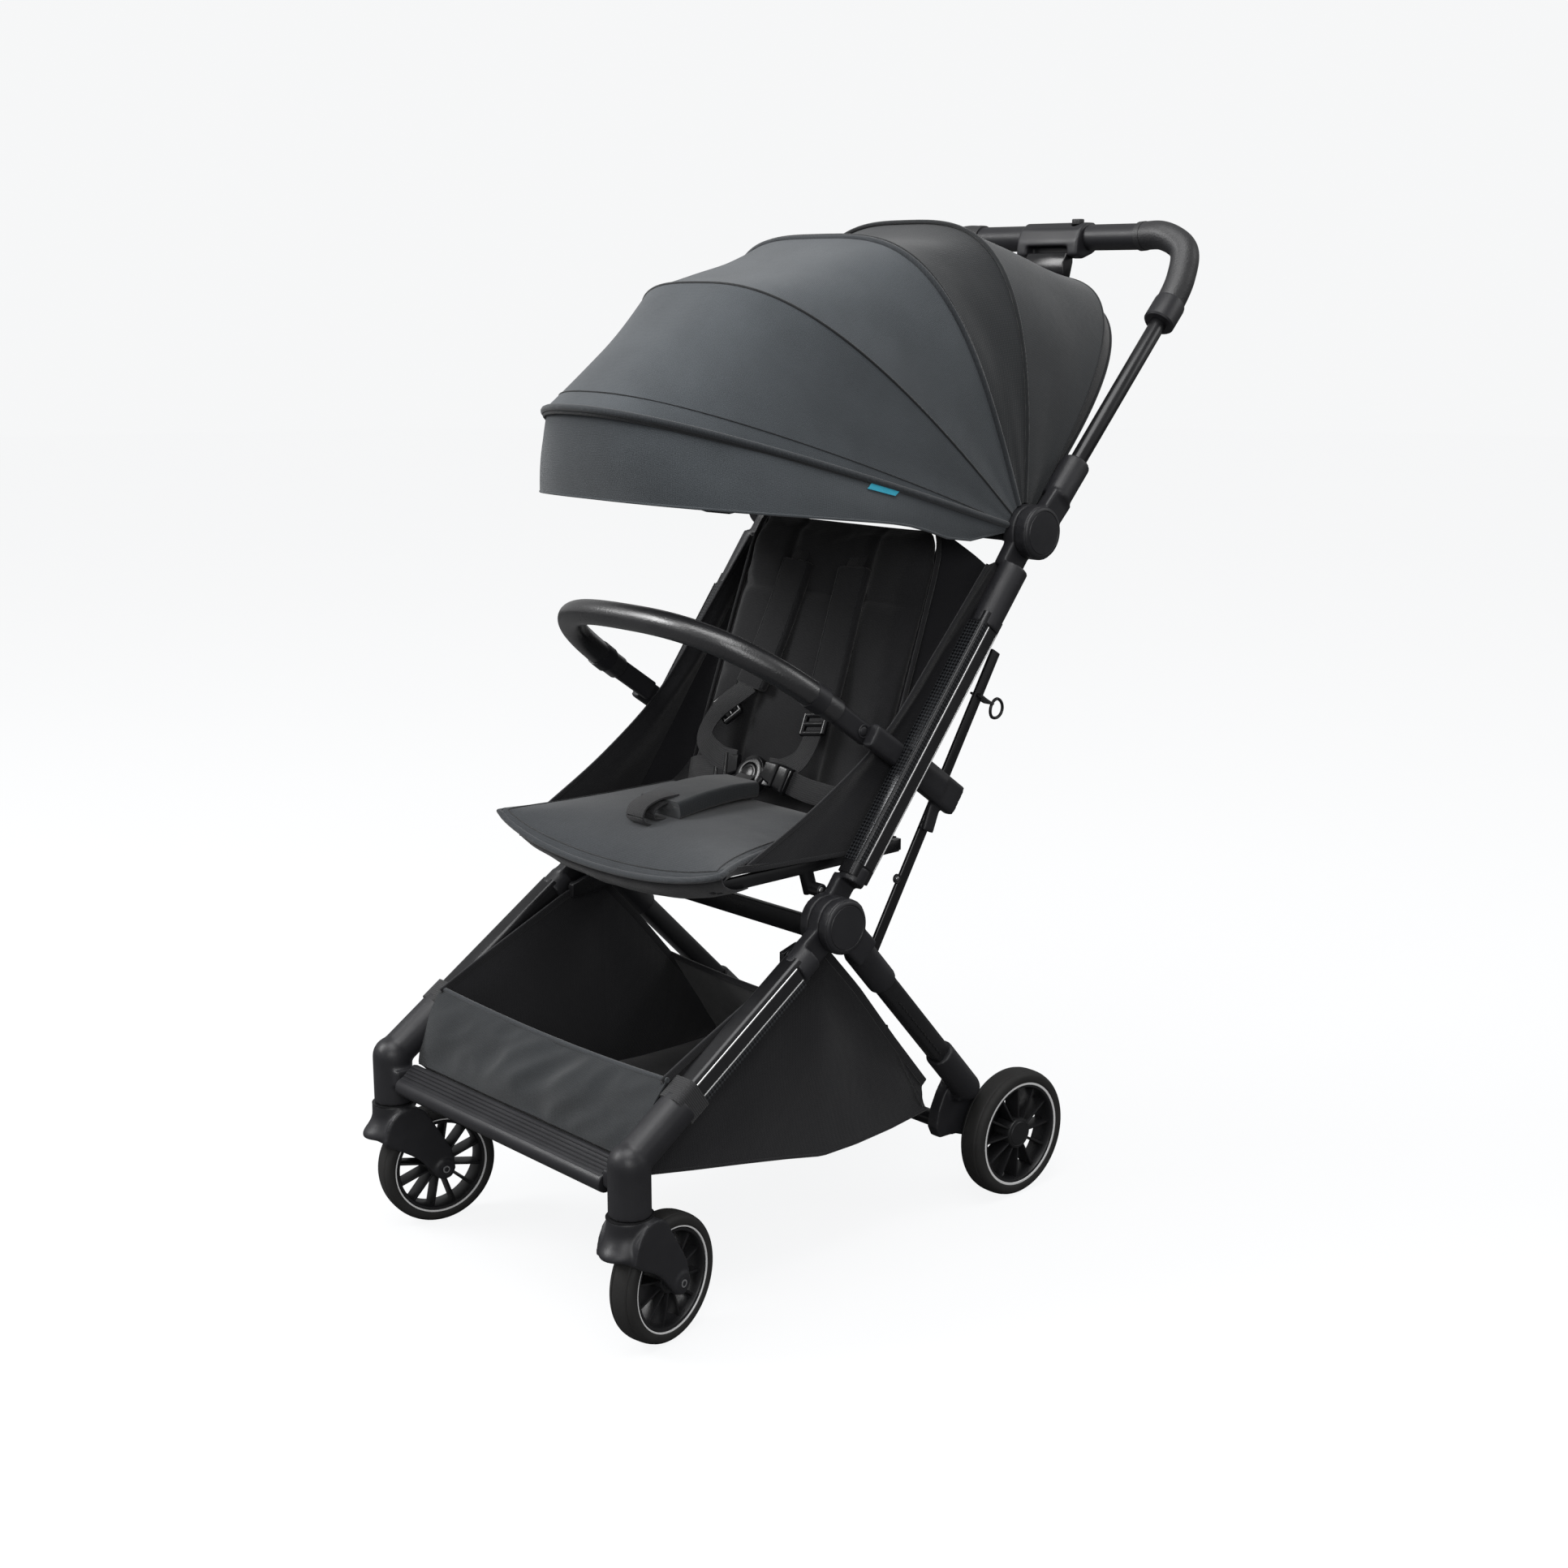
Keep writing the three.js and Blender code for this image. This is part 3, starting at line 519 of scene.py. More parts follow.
def lathe(name, outline, axis_point, axis, material, body, sides=64, smooth_angle=35, slot=None):
    """A turned ring or disc: outline holds (radius, place along the axis) in millimetres, closed."""
    turn = UP.rotation_difference(axis).to_matrix()
    points, faces = [], []
    for k in range(sides):
        a = 2 * math.pi * k / sides
        for radius, place in outline:
            local = Vector((radius * math.cos(a), radius * math.sin(a), place)) / 1000
            points.append(axis_point + turn @ local)
    count = len(outline)
    for k in range(sides):
        other = (k + 1) % sides
        for j in range(count):
            following = (j + 1) % count
            faces.append((k * count + j, other * count + j, other * count + following,
                          k * count + following))
    piece = make(name, points, faces, material, body, None, smooth_angle, slot)
    tidy = bmesh.new()
    tidy.from_mesh(piece.data)
    bmesh.ops.remove_doubles(tidy, verts=tidy.verts, dist=1e-6)
    bmesh.ops.recalc_face_normals(tidy, faces=tidy.faces)
    tidy.to_mesh(piece.data)
    tidy.free()
    smooth(piece.data, smooth_angle)
    return piece


def voxel_skin(piece, voxel):
    remesh = piece.modifiers.new("remesh", "REMESH")
    remesh.mode = "VOXEL"
    remesh.voxel_size = voxel / 1000


def flow_together(piece, voxel, passes):
    """Joins the piece's closed solids into one skin and softens its edges and inner corners."""
    voxel_skin(piece, voxel)
    flow = piece.modifiers.new("flow", "SMOOTH")
    flow.factor = 0.6
    flow.iterations = passes
    settle(piece)
    smooth(piece.data, 60)


def node_copy(node, material):
    """A new piece with the shape of one node of the frame."""
    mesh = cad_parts[node].data.copy()
    mesh.materials.clear()
    mesh.materials.append(material)
    piece = placed(f"{node}.moulded", mesh)
    return piece


def ease_edges(piece, width):
    """Merges flat faces and rounds every corner, with a width in millimetres."""
    work = bmesh.new()
    work.from_mesh(piece.data)
    bmesh.ops.remove_doubles(work, verts=work.verts, dist=1e-5)
    bmesh.ops.dissolve_limit(work, angle_limit=math.radians(1.0), verts=work.verts, edges=work.edges)
    work.to_mesh(piece.data)
    work.free()
    edges = piece.modifiers.new("eased", "BEVEL")
    edges.width = width / 1000
    edges.segments = 3
    edges.limit_method = "ANGLE"
    edges.angle_limit = math.radians(38)
    settle(piece)
    smooth(piece.data, 42)


def puff(piece, pressure, cap, voxel, pinned, steps=20):
    """Swells a closed shape as stuffed cloth, by simulation; pinned says which points a seam holds still.
    cap is the furthest a point may move and voxel the mesh's fineness, both in millimetres."""
    voxel_skin(piece, voxel)
    settle(piece)
    rest = [vertex.co.copy() for vertex in piece.data.vertices]
    seam = piece.vertex_groups.new(name="seam")
    held = [k for k, point in enumerate(rest) if pinned(point)]
    seam.add(held, 1.0, "REPLACE")
    scene = bpy.context.scene
    swell = piece.modifiers.new("swell", "CLOTH")
    swell.settings.use_pressure = True
    swell.settings.uniform_pressure_force = pressure
    swell.settings.effector_weights.gravity = 0
    swell.settings.quality = 5
    swell.settings.tension_stiffness = 25
    if held:
        swell.settings.vertex_group_mass = "seam"
    swell.point_cache.frame_start = 1
    swell.point_cache.frame_end = steps
    for step in range(1, steps + 1):
        scene.frame_set(step)
    graph = bpy.context.evaluated_depsgraph_get()
    swollen = bpy.data.meshes.new_from_object(piece.evaluated_get(graph))
    piece.modifiers.clear()
    piece.vertex_groups.clear()
    scene.frame_set(1)
    for vertex, start, end in zip(piece.data.vertices, rest, swollen.vertices):
        move = end.co - start
        vertex.co = start + move * min(1.0, cap / 1000 / max(move.length, 1e-9))
    piece.data.update()
    return piece


# ---------------------------------------------------------------- canopy

def hoop_point(angle, reach, width, power, turn):
    return arch_point(UPPER_HUB, math.radians(angle), reach, width, power, turn)


def hoop_row(hoop, nearest=30, count=64):
    angle, reach, width, power = hoop
    start = math.asin((nearest / reach) ** (power / 2))
    return [hoop_point(angle, reach, width, power, turn) for turn in turns(start, count)]


# Each hoop: its lean in degrees from straight back, reach, half width, and power (2 is an ellipse).
BACK_EDGE = (45.5, 334, 183, 3.0)
BAND_SEAM = (51, 338, 186, 3.1)
REAR_HOOP = (88, 319, 190, 3.1)
THIRD_HOOP = (112, 323, 191, 3.5)
SECOND_HOOP = (138.5, 384, 192, 2.9)
FRONT_HOOP = (163, 467, 192, 2.3)
CANOPY_CENTRE = at(0, *UPPER_HUB)


def pulled(row_a, row_b, share, sag, ripple=0.0, seed=0.0):
    """The row a share of the way between two hoops, drawn in a little where the cloth hangs free."""
    row = []
    for k, (a, b) in enumerate(zip(row_a, row_b)):
        point = a.lerp(b, share)
        place = k / (len(row_a) - 1)
        inward = (CANOPY_CENTRE - point).normalized()
        free = 4 * share * (1 - share)
        depth = sag * free * math.sin(math.pi * place)
        wave = ripple * free * wander(place * 9 + seed, share * 2.0, seed)
        row.append(point + inward * ((depth + wave) / 1000))
    return row


def panel(name, hoop_a, hoop_b, material, sag, ripple, seed, body=None, steps=14):
    low, high = hoop_row(hoop_a), hoop_row(hoop_b)
    rows = [pulled(low, high, i / steps, sag, ripple, seed) for i in range(steps + 1)]
    return cloth_sheet(name, rows, material, body, thickness=1.8)


def seam(name, hoop, radius, body, material=PIPING, lift=0.6, nearest=30, slot=None):
    angle, reach, width, power = hoop
    row = hoop_row((angle, reach + lift, width + lift, power), nearest, 96)
    sideways = Vector((0, -math.sin(math.radians(angle)), math.cos(math.radians(angle))))
    return sweep(name, row, circle(radius, 10), material, body, sideways, slot=slot)


def shifted(hoop, angle=0.0, reach=0.0, width=0.0):
    return (hoop[0] + angle, hoop[1] + reach, hoop[2] + width, hoop[3])


def stretch_with(piece, hoop_a, hoop_b, reach):
    """Writes the place of cloth between two hoops into its mesh; the hoops are measured over the crown."""
    start, end = (hoop_point(hoop[0], reach, 0, 2, math.pi / 2) for hoop in (hoop_a, hoop_b))
    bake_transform(piece)
    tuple(start)
    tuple(end)


def canopy_panels():
    panel("canopy_back_band", BACK_EDGE, BAND_SEAM, BLACK_CLOTH, 0, 0, 1, "back_frame", 5)
    # The rear panel's cloth is the charcoal darkened as painted shade.
    panel("canopy_rear_panel", BAND_SEAM, REAR_HOOP, CHARCOAL_PAINTED_SHADE, 3, 3, 2, "back_frame")
    extension = panel("canopy_extension_panel", shifted(REAR_HOOP, -0.5, -2, -1),
                      shifted(THIRD_HOOP, 0.3, -2, -1),
                      MESH_CLOTH, 8, 3, 3)
    stretch_with(extension, REAR_HOOP, THIRD_HOOP, 260)
    middle_panel = panel("canopy_middle_panel", THIRD_HOOP, SECOND_HOOP, CHARCOAL, 4, 3, 4)
    stretch_with(middle_panel, THIRD_HOOP, SECOND_HOOP, 270)
    front = panel("canopy_front_panel", SECOND_HOOP, FRONT_HOOP, CHARCOAL, 5, 2, 5)
    stretch_with(front, SECOND_HOOP, FRONT_HOOP, 330)
    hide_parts("canopy_sheet")


def visor_row(share, count=64, reach=428, power=3.4, nearest=30):
    """From just under the brim's piping down to the flap's lower edge, which dips in a lobe by the hub."""
    upper = hoop_row(shifted(FRONT_HOOP, 0.4, -5, -1), nearest, count)
    start = math.asin((nearest / reach) ** (power / 2))
    row = []
    for k, (a, turn) in enumerate(zip(upper, turns(start, count))):
        lobe = 9 * math.exp(-((reach * math.sin(turn) ** (2 / power) - 80) / 55) ** 2)
        b = hoop_point(173.5 + lobe, reach, 190, power, turn)
        place = k / count
        bulge = 4 * math.sin(math.pi * share) * math.sin(math.pi * place)
        ripple = 2.5 * wander(place * 11, share * 1.5, 7.0)
        outward_way = (a.lerp(b, share) - CANOPY_CENTRE).normalized()
        row.append(a.lerp(b, share) + outward_way * ((bulge + ripple) / 1000))
    return row


def off_the_cloth(points, proud):
    """The same points moved a little away from the hubs, in metres."""
    return [point + (point - CANOPY_CENTRE).normalized() * proud for point in points]


def canopy():
    canopy_panels()
    cloth_sheet("canopy_visor", [visor_row(i / 10) for i in range(11)], CHARCOAL, "canopy_front",
                thickness=1.8)
    hang = Vector((0, 0.3, 1))
    sweep("canopy_visor_hem", visor_row(1.0), rounded(3.4, 2.6, 1.2, 2), CHARCOAL, "canopy_front", hang)
    seam("canopy_brim_piping", FRONT_HOOP, 3.6, "canopy_front", CHARCOAL_PAD)
    seam("canopy_brim_cord", shifted(FRONT_HOOP, 0.5, -2), 2.2, "canopy_front")
    seam("canopy_second_seam", SECOND_HOOP, 1.5, "canopy_second")
    seam("canopy_third_ridge", shifted(THIRD_HOOP, -0.3), 3.4, "canopy_third", CHARCOAL_PAD)
    seam("canopy_third_piping", shifted(THIRD_HOOP, -1.1, 1), 1.8, "canopy_third")
    seam("canopy_rear_piping", REAR_HOOP, 2.2, "back_frame")
    seam("canopy_band_seam", BAND_SEAM, 1.3, "back_frame")
    seam("canopy_back_hem", BACK_EDGE, 2.4, "back_frame", slot="black_cloth")
    stitch = off_the_cloth(pulled(hoop_row(SECOND_HOOP, 60), hoop_row(FRONT_HOOP, 60), 0.87, 3), 0.0009)
    sweep("canopy_brim_stitching", stitch, circle(0.55, 6), PIPING, "canopy_front", hang)
    tag_rows = [off_the_cloth(visor_row(share, 256)[26:34], 0.0028) for share in (0.03, 0.11, 0.19)]
    surface("canopy_tag", tag_rows, TAG, "canopy_front", 1.2)


canopy()


# ---------------------------------------------------------------- wheels

REAR_WHEEL = {"end": "rear", "radius": 72, "ring": 59.4, "ring_width": 3.0, "yaw": 0, "hub": 18}
FRONT_WHEEL = {"end": "front", "radius": 65, "ring": 53.8, "ring_width": 2.2, "yaw": 11, "hub": 15}
SPOKES = 12


def tyre_outline(radius, bore, half=15, steps=96):
    """Full shoulders and two shallow grooves near the shoulders of the tread."""
    middle_radius, height = (radius + bore) / 2, (radius - bore) / 2
    outline = []
    for k in range(steps):
        turn = 2 * math.pi * k / steps
        c, s = math.cos(turn), math.sin(turn)
        place = half * math.copysign(abs(c) ** 0.72, c)
        r = middle_radius + height * math.copysign(abs(s) ** 0.72, s)
        groove = math.exp(-((abs(place) - 9.0) / 0.55) ** 2) if s > 0 else 0
        outline.append((r - 1.0 * groove, place))
    return outline


def spoke_points(axis_frame, hub, rim, half, turn):
    """Eight corners of one deep, thin fin, a little thicker where it meets the barrel."""
    points = []
    for radius, thickness, depth in ((hub, 0.9, half), (rim, 1.5, half - 1.5)):
        for side in (-1, 1):
            for place in (-depth, depth):
                local = Vector((radius, side * thickness, place)) / 1000
                points.append(axis_frame @ (Matrix.Rotation(turn, 3, "Z") @ local))
    return points


def spoke_fins(name, centre, axis, wheel, body):
    axis_frame = UP.rotation_difference(axis).to_matrix()
    points, faces = [], []
    for k in range(SPOKES):
        base = len(points)
        turn = 2 * math.pi * k / SPOKES
        corners = spoke_points(axis_frame, wheel["hub"] - 2, wheel["ring"] - 5, 10.5, turn)
        points += [centre + corner for corner in corners]
        for face in ((0, 1, 3, 2), (4, 6, 7, 5), (0, 4, 5, 1), (2, 3, 7, 6), (0, 2, 6, 4), (1, 5, 7, 3)):
            faces.append(tuple(base + i for i in face))
    fins = make(name, points, faces, RIM_PLASTIC, body, None, 30)
    outward(fins.data)
    soften = fins.modifiers.new("soften", "BEVEL")
    soften.width = 0.0005
    soften.segments = 2
    settle(fins)
    smooth(fins.data, 40)


def side_of(face):
    return "outer" if face > 0 else "inner"


def build_wheel(wheel, name, sign):
    end, ring, hub = wheel["end"], wheel["ring"], wheel["hub"]
    body = f"{end}_wheel_{name}"
    centre = middle(f"{end}_tyre_{name}")
    yaw = math.radians(wheel["yaw"])
    axis = Vector((sign * math.cos(yaw), math.sin(yaw), 0))
    tyre = lathe(f"{body}.tyre", tyre_outline(wheel["radius"], ring - 4), centre, axis, RUBBER, body, 96, 50)
    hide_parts(f"{end}_tyre_{name}")
    barrel = [(ring - 6.5, -11.5), (ring - 5.5, -13), (ring - 3, -13.4), (ring - 3, 13.4), (ring - 5.5, 13),
              (ring - 6.5, 11.5), (ring - 7.2, 0)]
    rim = lathe(f"{body}.rim", barrel, centre, axis, RIM_PLASTIC, body, 96)
    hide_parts(f"{end}_rim_{name}")
    inner = ring - wheel["ring_width"]
    for face in (-1, 1):
        band = [(inner, face * 12.2), (ring, face * 12.2), (ring, face * 13.4), (ring - 0.4, face * 13.9),
                (inner + 0.4, face * 13.9), (inner, face * 13.4)]
        # Silver rings; part of their brightness is painted reflection in the material's base colour.
        lathe(f"{body}.ring_{side_of(face)}", band, centre, axis, SILVER_WITH_PAINTED_REFLECTION, body, 96)
    cap = [(0, -12), (hub - 3, -12), (hub, -10.5), (hub, 9.5), (hub - 1, 11.2), (hub - 3.5, 12),
           (hub - 4.2, 11.6),
           (hub - 5, 12.3), (0, 12.6)]
    lathe(f"{body}.hub", cap, centre, axis, RIM_PLASTIC, body, 48)
    spoke_fins(f"{body}.spokes", centre, axis, wheel, body)


for side_name, side_sign in SIDES:
    build_wheel(REAR_WHEEL, side_name, side_sign)
    build_wheel(FRONT_WHEEL, side_name, side_sign)


# ---------------------------------------------------------------- frame

MAIN_BOTTOM, MAIN_TOP = at(192, *LOWER_HUB), at(203, *UPPER_HUB)
CASTER_POST = (203, -563)
LEG_TOP, LEG_BOTTOM = at(200, *LOWER_HUB), at(*CASTER_POST, 196)
REAR_TOP, REAR_BOTTOM = at(204, *LOWER_HUB), at(177, -71, 141)
HANDLE_BOTTOM, HANDLE_RING = at(207, *UPPER_HUB), at(191, 203, 962)


def shifted_ring(ring, across, sideways):
    return [(across + u, sideways + v) for u, v in ring]


def plate(name, start, end, u0, u1, v0, v1, material, body, ease=0.5):
    """A thin strip along a tube: u runs rearwards across it and v runs sideways, in millimetres."""
    ring = shifted_ring(rounded(abs(u1 - u0), abs(v1 - v0), ease, 3), (u0 + u1) / 2, (v0 + v1) / 2)
    return rod(name, start, end, ring, material, body, steps=24)


def profile_tube(node, start, end, body, sign, covered=0.045):
    """The flat-sided tube: a lacquered core, a woven-pattern front band and a glossy outer face between two
    bright silver lines, whose brightness is partly painted reflection.
    covered is the share of it inside the socket at each end."""
    a, b = sided(start, sign), sided(end, sign)
    core = rod(f"{node}.core", a, b, rounded(30, 24, 6, 6), TUBE, body, steps=24, slot="side_profile")
    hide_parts(node)
    a, b = a.lerp(b, covered), b.lerp(a, covered)
    plate(f"{node}.front_band", a, b, -15.7, -14.6, -8.5, 8.5, TWILL, body)
    plate(f"{node}.corner_band", a, b, -14.4, -6.2, sign * 11.4, sign * 12.6, TWILL, body)
    plate(f"{node}.outer_face", a, b, -4.4, 9.4, sign * 11.2, sign * 12.9, FACE, body, 0.7)
    for label, u in (("front", -5.3), ("rear", 10.2)):
        line = shifted_ring(circle(0.75, 8), u, sign * 12.5)
        # Bright silver lines, partly painted reflection in the material's base colour.
        rod(f"{node}.{label}_line", a, b, line, EDGE_LINE_WITH_PAINTED_REFLECTION, body, steps=24)


def profile_tubes():
    for name, sign in SIDES:
        profile_tube(f"side_tube_{name}", MAIN_BOTTOM.lerp(MAIN_TOP, 0.11),
                     MAIN_BOTTOM.lerp(MAIN_TOP, 0.775),
                     "back_frame", sign)
        profile_tube(f"front_leg_{name}", LEG_TOP.lerp(LEG_BOTTOM, 0.19), LEG_TOP.lerp(LEG_BOTTOM, 0.79),
                     "front_frame", sign)


# Body, material, ease, nodes, and whether each node has a left and a right.
REFINED = (
    ("front_frame", PLASTIC, -9, ("front_elbow", "lower_hub"), True),
    ("front_frame", TUBE, 1.0, ("crossbar",), False),
    ("rear_frame", PLASTIC, -9, ("rear_knuckle", "rear_foot"), True),
    ("rear_frame", TUBE, 1.0, ("rear_leg",), True),
    ("rear_frame", TUBE, 1.0, ("brake_tube",), False),
    ("brake_pedal", PLASTIC, 1.5, ("brake_pedal",), False),
    ("back_frame", PLASTIC, -8, ("lower_knuckle", "upper_hub", "bumper_mount"), True),
    ("back_frame", TUBE, 0.8, ("brace_bar",), True),
    ("back_frame", TUBE, 0.8, ("canopy_rear_hoop",), False),
    ("canopy_third", TUBE, 0.8, ("canopy_third_hoop",), False),
    ("canopy_second", TUBE, 0.8, ("canopy_second_hoop",), False),
    ("canopy_front", TUBE, 0.8, ("canopy_front_hoop",), False),
    ("handle", PLASTIC, -8, ("handle_knuckle",), True),
    ("handle", TUBE, 1.0, ("handle_tube",), True),
    ("handle", PLASTIC, -14, ("handle_housing",), False),
    ("fold_trigger", GLOSS_PLASTIC, 1.4, ("fold_trigger",), False),
    ("lock_button", LEATHER, 1.2, ("lock_button",), False),
    ("seat_frame", TUBE, 1.0, ("seat_frame",), False),
    ("front_frame", PLASTIC, 1.6, ("footrest",), False),
    ("backrest", GLOSS_PLASTIC, 1.6, ("buckle",), False),
    ("buckle_button", GLOSS_PLASTIC, 1.2, ("buckle_button",), False),
)


def refined_nodes():
    """An ease above 0 is a bevel in millimetres; below 0 it counts the smoothing passes of a moulding."""
    for body, material, ease, nodes, paired in REFINED:
        for node in (f"{node}{end}" for node in nodes for end in (("_left", "_right") if paired else ("",))):
            piece = node_copy(node, material)
            if ease < 0:
                flow_together(piece, 1.5, -ease)
            else:
                ease_edges(piece, ease)
            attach(piece, body)
            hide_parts(node)


def hub_cap(name, centre, axis, radius, body):
    """A flat round cover with an eased rim and a fine joint line round it."""
    outline = [(0, -4), (radius - 1, -4), (radius, -2.6), (radius, -0.8), (radius - 0.9, 0.8),
               (radius - 2.6, 1.7),
               (radius - 4.2, 1.9), (radius - 4.8, 1.3), (radius - 5.4, 2.0), (0, 2.6)]
    lathe(name, outline, centre, axis, PLASTIC, body)


def bolt(name, centre, axis, radius, body, material=STEEL, proud=1.6):
    """A domed bolt or rivet head standing in a shallow ring."""
    dome = [(0, -2), (radius, -2), (radius, 0)]
    dome += [(radius * math.cos(a), proud * math.sin(a)) for a in (0.3, 0.7, 1.1)] + [(0, proud)]
    lathe(name, dome, centre, axis, material, body, 28, slot="steel")
    ring = [(radius + 0.4, -2), (radius + 2.2, -2), (radius + 2.2, 0.2), (radius + 1.5, 0.9),
            (radius + 0.4, 0.5)]
    lathe(f"{name}.collar", ring, centre, axis, PLASTIC, body, 28)


RIVETS = (
    ("brace_foot", (175.2, -141, 447), 3.6, "back_frame"),
    ("brace", (175.2, -180, 397), 2.8, "back_frame"),
    ("seat_pivot", (176.6, -290, 405), 4.4, "seat_frame"),
)


def hubs_and_bolts(hub_face=216.4, hub_radius=27.5, fork_face=0.0268):
    yaw = math.radians(FRONT_WHEEL["yaw"])
    for name, sign in SIDES:
        way = Vector((sign, 0, 0))
        hub_cap(f"lower_hub_{name}.cap", sided(at(hub_face, *LOWER_HUB), sign), way, hub_radius,
                "rear_frame")
        hub_cap(f"upper_hub_{name}.cap", sided(at(hub_face, *UPPER_HUB), sign), way, hub_radius, "handle")
        for label, place, radius, body in RIVETS:
            bolt(f"{label}_{name}.rivet", sided(at(*place), sign), way, radius, body)
        fork_way = Vector((sign * math.cos(yaw), math.sin(yaw), 0))
        for face in (-1, 1):
            end = middle(f"front_tyre_{name}") + fork_way * face * fork_face
            bolt(f"caster_{name}.bolt_{side_of(face)}", end, fork_way * face, 5.2, f"caster_{name}", PLASTIC,
                 1.4)


def leg_dots():
    """The row of small dark slots along the rear leg's outer face."""
    for name, sign in SIDES:
        a, b = sided(REAR_TOP, sign), sided(REAR_BOTTOM, sign)
        way = (b - a).normalized()
        outline = shifted_ring(rounded(1.9, 1.2, 0.5, 2), 4.8, sign * 10.9)
        for k in range(14):
            start = a.lerp(b, 0.42 + 0.024 * k)
            end = start + way * 0.0038
            rod(f"rear_leg_{name}.slot_{k + 1}", start, end, outline, RIM_PLASTIC, "rear_frame")


def footrest_ridges(count=6, half_length=173):
    """Ribs along the sloping face of the foot board."""
    low, high = (-575.4, 176.4), (-556.6, 190.4)
    for k in range(count):
        share = 0.06 + 0.88 * k / (count - 1)
        y, z = low[0] + (high[0] - low[0]) * share, low[1] + (high[1] - low[1]) * share
        start, end = at(-half_length, y, z), at(half_length, y, z)
        rod(f"footrest.ridge_{k + 1}", start, end, circle(1.15, 8), PLASTIC, "front_frame", up=UP, steps=12)


def elbow_marks():
    """The dark joint line where the fork turns under its post."""
    outline = [(24.4 * c, 21.4 * d) for c, d in circle(1, 48)]
    for name, sign in SIDES:
        low, high = (sided(at(*CASTER_POST, z), sign) for z in (144.4, 145.2))
        rod(f"caster_seam_{name}.line", low, high, outline, RIM_PLASTIC, "front_frame")


# Height, half width, reach to the front and reach to the rear, down the outside and back up the inside.
FORK_HOOD = (
    (144.6, 21.0, 24.0, 24.0), (137, 21.0, 24.0, 24.5), (131, 21.4, 24.2, 26), (126, 22.4, 26.0, 28),
    (120, 24.2, 30.0, 29), (115.5, 25.3, 34.4, 29), (111, 25.6, 36.2, 29), (106, 25.6, 36.2, 28),
    (100, 25.0, 35.0, 27), (100, 18.4, 31.0, 23), (110, 17.9, 29, 23), (120, 17.7, 22, 22),
    (131, 17.4, 17, 20),
    (137, 15, 14, 15),
)
# Seen from the side: distance behind the post and height.
FORK_LEG = (
    (-22, 106), (-16, 126), (-4, 139), (12, 142), (25, 136), (34, 121), (45, 103), (55, 84), (57.5, 66),
    (53.5, 56),
    (46, 53), (38, 55), (30, 65), (16, 81), (0, 92), (-13, 99),
)


def fork_place(sign, x, y, z):
    yaw = math.radians(FRONT_WHEEL["yaw"])
    across = x * math.cos(yaw) - y * math.sin(yaw)
    behind = x * math.sin(yaw) + y * math.cos(yaw)
    return sided(at(*CASTER_POST, 0), sign) + Vector((sign * across, behind, z)) / 1000


def fork_hood(sign, sides=64):
    """A closed hollow skirt: round at the post, drawn to a lip in front, open over the tyre behind."""
    rings = []
    for z, half_x, front, rear in FORK_HOOD:
        for k in range(sides):
            turn = 2 * math.pi * k / sides
            c, s = math.cos(turn), math.sin(turn)
            opening = min(1.0, max(0.0, (s - 0.25) / 0.5))
            brim = min(1.0, max(0.0, (-s - 0.35) / 0.5))
            height = z + max(0.0, 137.5 - z) * opening * opening * (3 - 2 * opening)
            height += max(0.0, 111.5 - z) * 0.75 * brim * brim * (3 - 2 * brim)
            rings.append(fork_place(sign, half_x * c, s * (rear if s > 0 else front), height))
    levels = len(FORK_HOOD)
    faces = [tuple(range(sides)), tuple(range((levels - 1) * sides, levels * sides))]
    for i in range(levels - 1):
        for k in range(sides):
            a, b = i * sides + k, i * sides + (k + 1) % sides
            faces.append((a, b, b + sides, a + sides))
    return rings, faces


def fork_slab(sign, outline, near, far):
    """A flat closed plate from one side outline, between two distances from the fork's middle."""
    count = len(outline)
    points = [fork_place(sign, x, y, z) for x in (near, far) for y, z in outline]
    faces = [tuple(range(count)), tuple(range(count, 2 * count))]
    faces += [(k, (k + 1) % count, (k + 1) % count + count, k + count) for k in range(count)]
    return points, faces


def caster_fork(name, sign):
    """Skirt, two legs and two bosses flowed together like one moulding."""
    boss = [(46 + y, 65 + z) for y, z in circle(11, 32)]
    side_view = [Vector((y, z, 0)) for y, z in (*FORK_LEG, FORK_LEG[0])]
    leg = [(p.x, p.y) for p in smooth_path(side_view, 96)[:-1]]
    solids = [fork_hood(sign)]
    for side in (-1, 1):
        solids.append(fork_slab(sign, leg, side * 17.6, side * 25.4))
        solids.append(fork_slab(sign, boss, side * 18.8, side * 27.6))
    points, faces = [], []
    for solid_points, solid_faces in solids:
        start = len(points)
        points += solid_points
        faces += [tuple(start + k for k in face) for face in solid_faces]
    piece = make(f"caster_fork_{name}.moulded", points, faces, PLASTIC, f"caster_{name}")
    outward(piece.data)
    flow_together(piece, 1.4, 12)
    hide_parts(f"caster_fork_{name}")


def hard_frame():
    profile_tubes()
    refined_nodes()
    hubs_and_bolts()
    leg_dots()
    footrest_ridges()
    elbow_marks()
    for name, sign in SIDES:
        caster_fork(name, sign)


hard_frame()


# ---------------------------------------------------------------- grips

BUMPER_ROOT = (-236, 562)
BUMPER_ANGLE = math.radians(145)


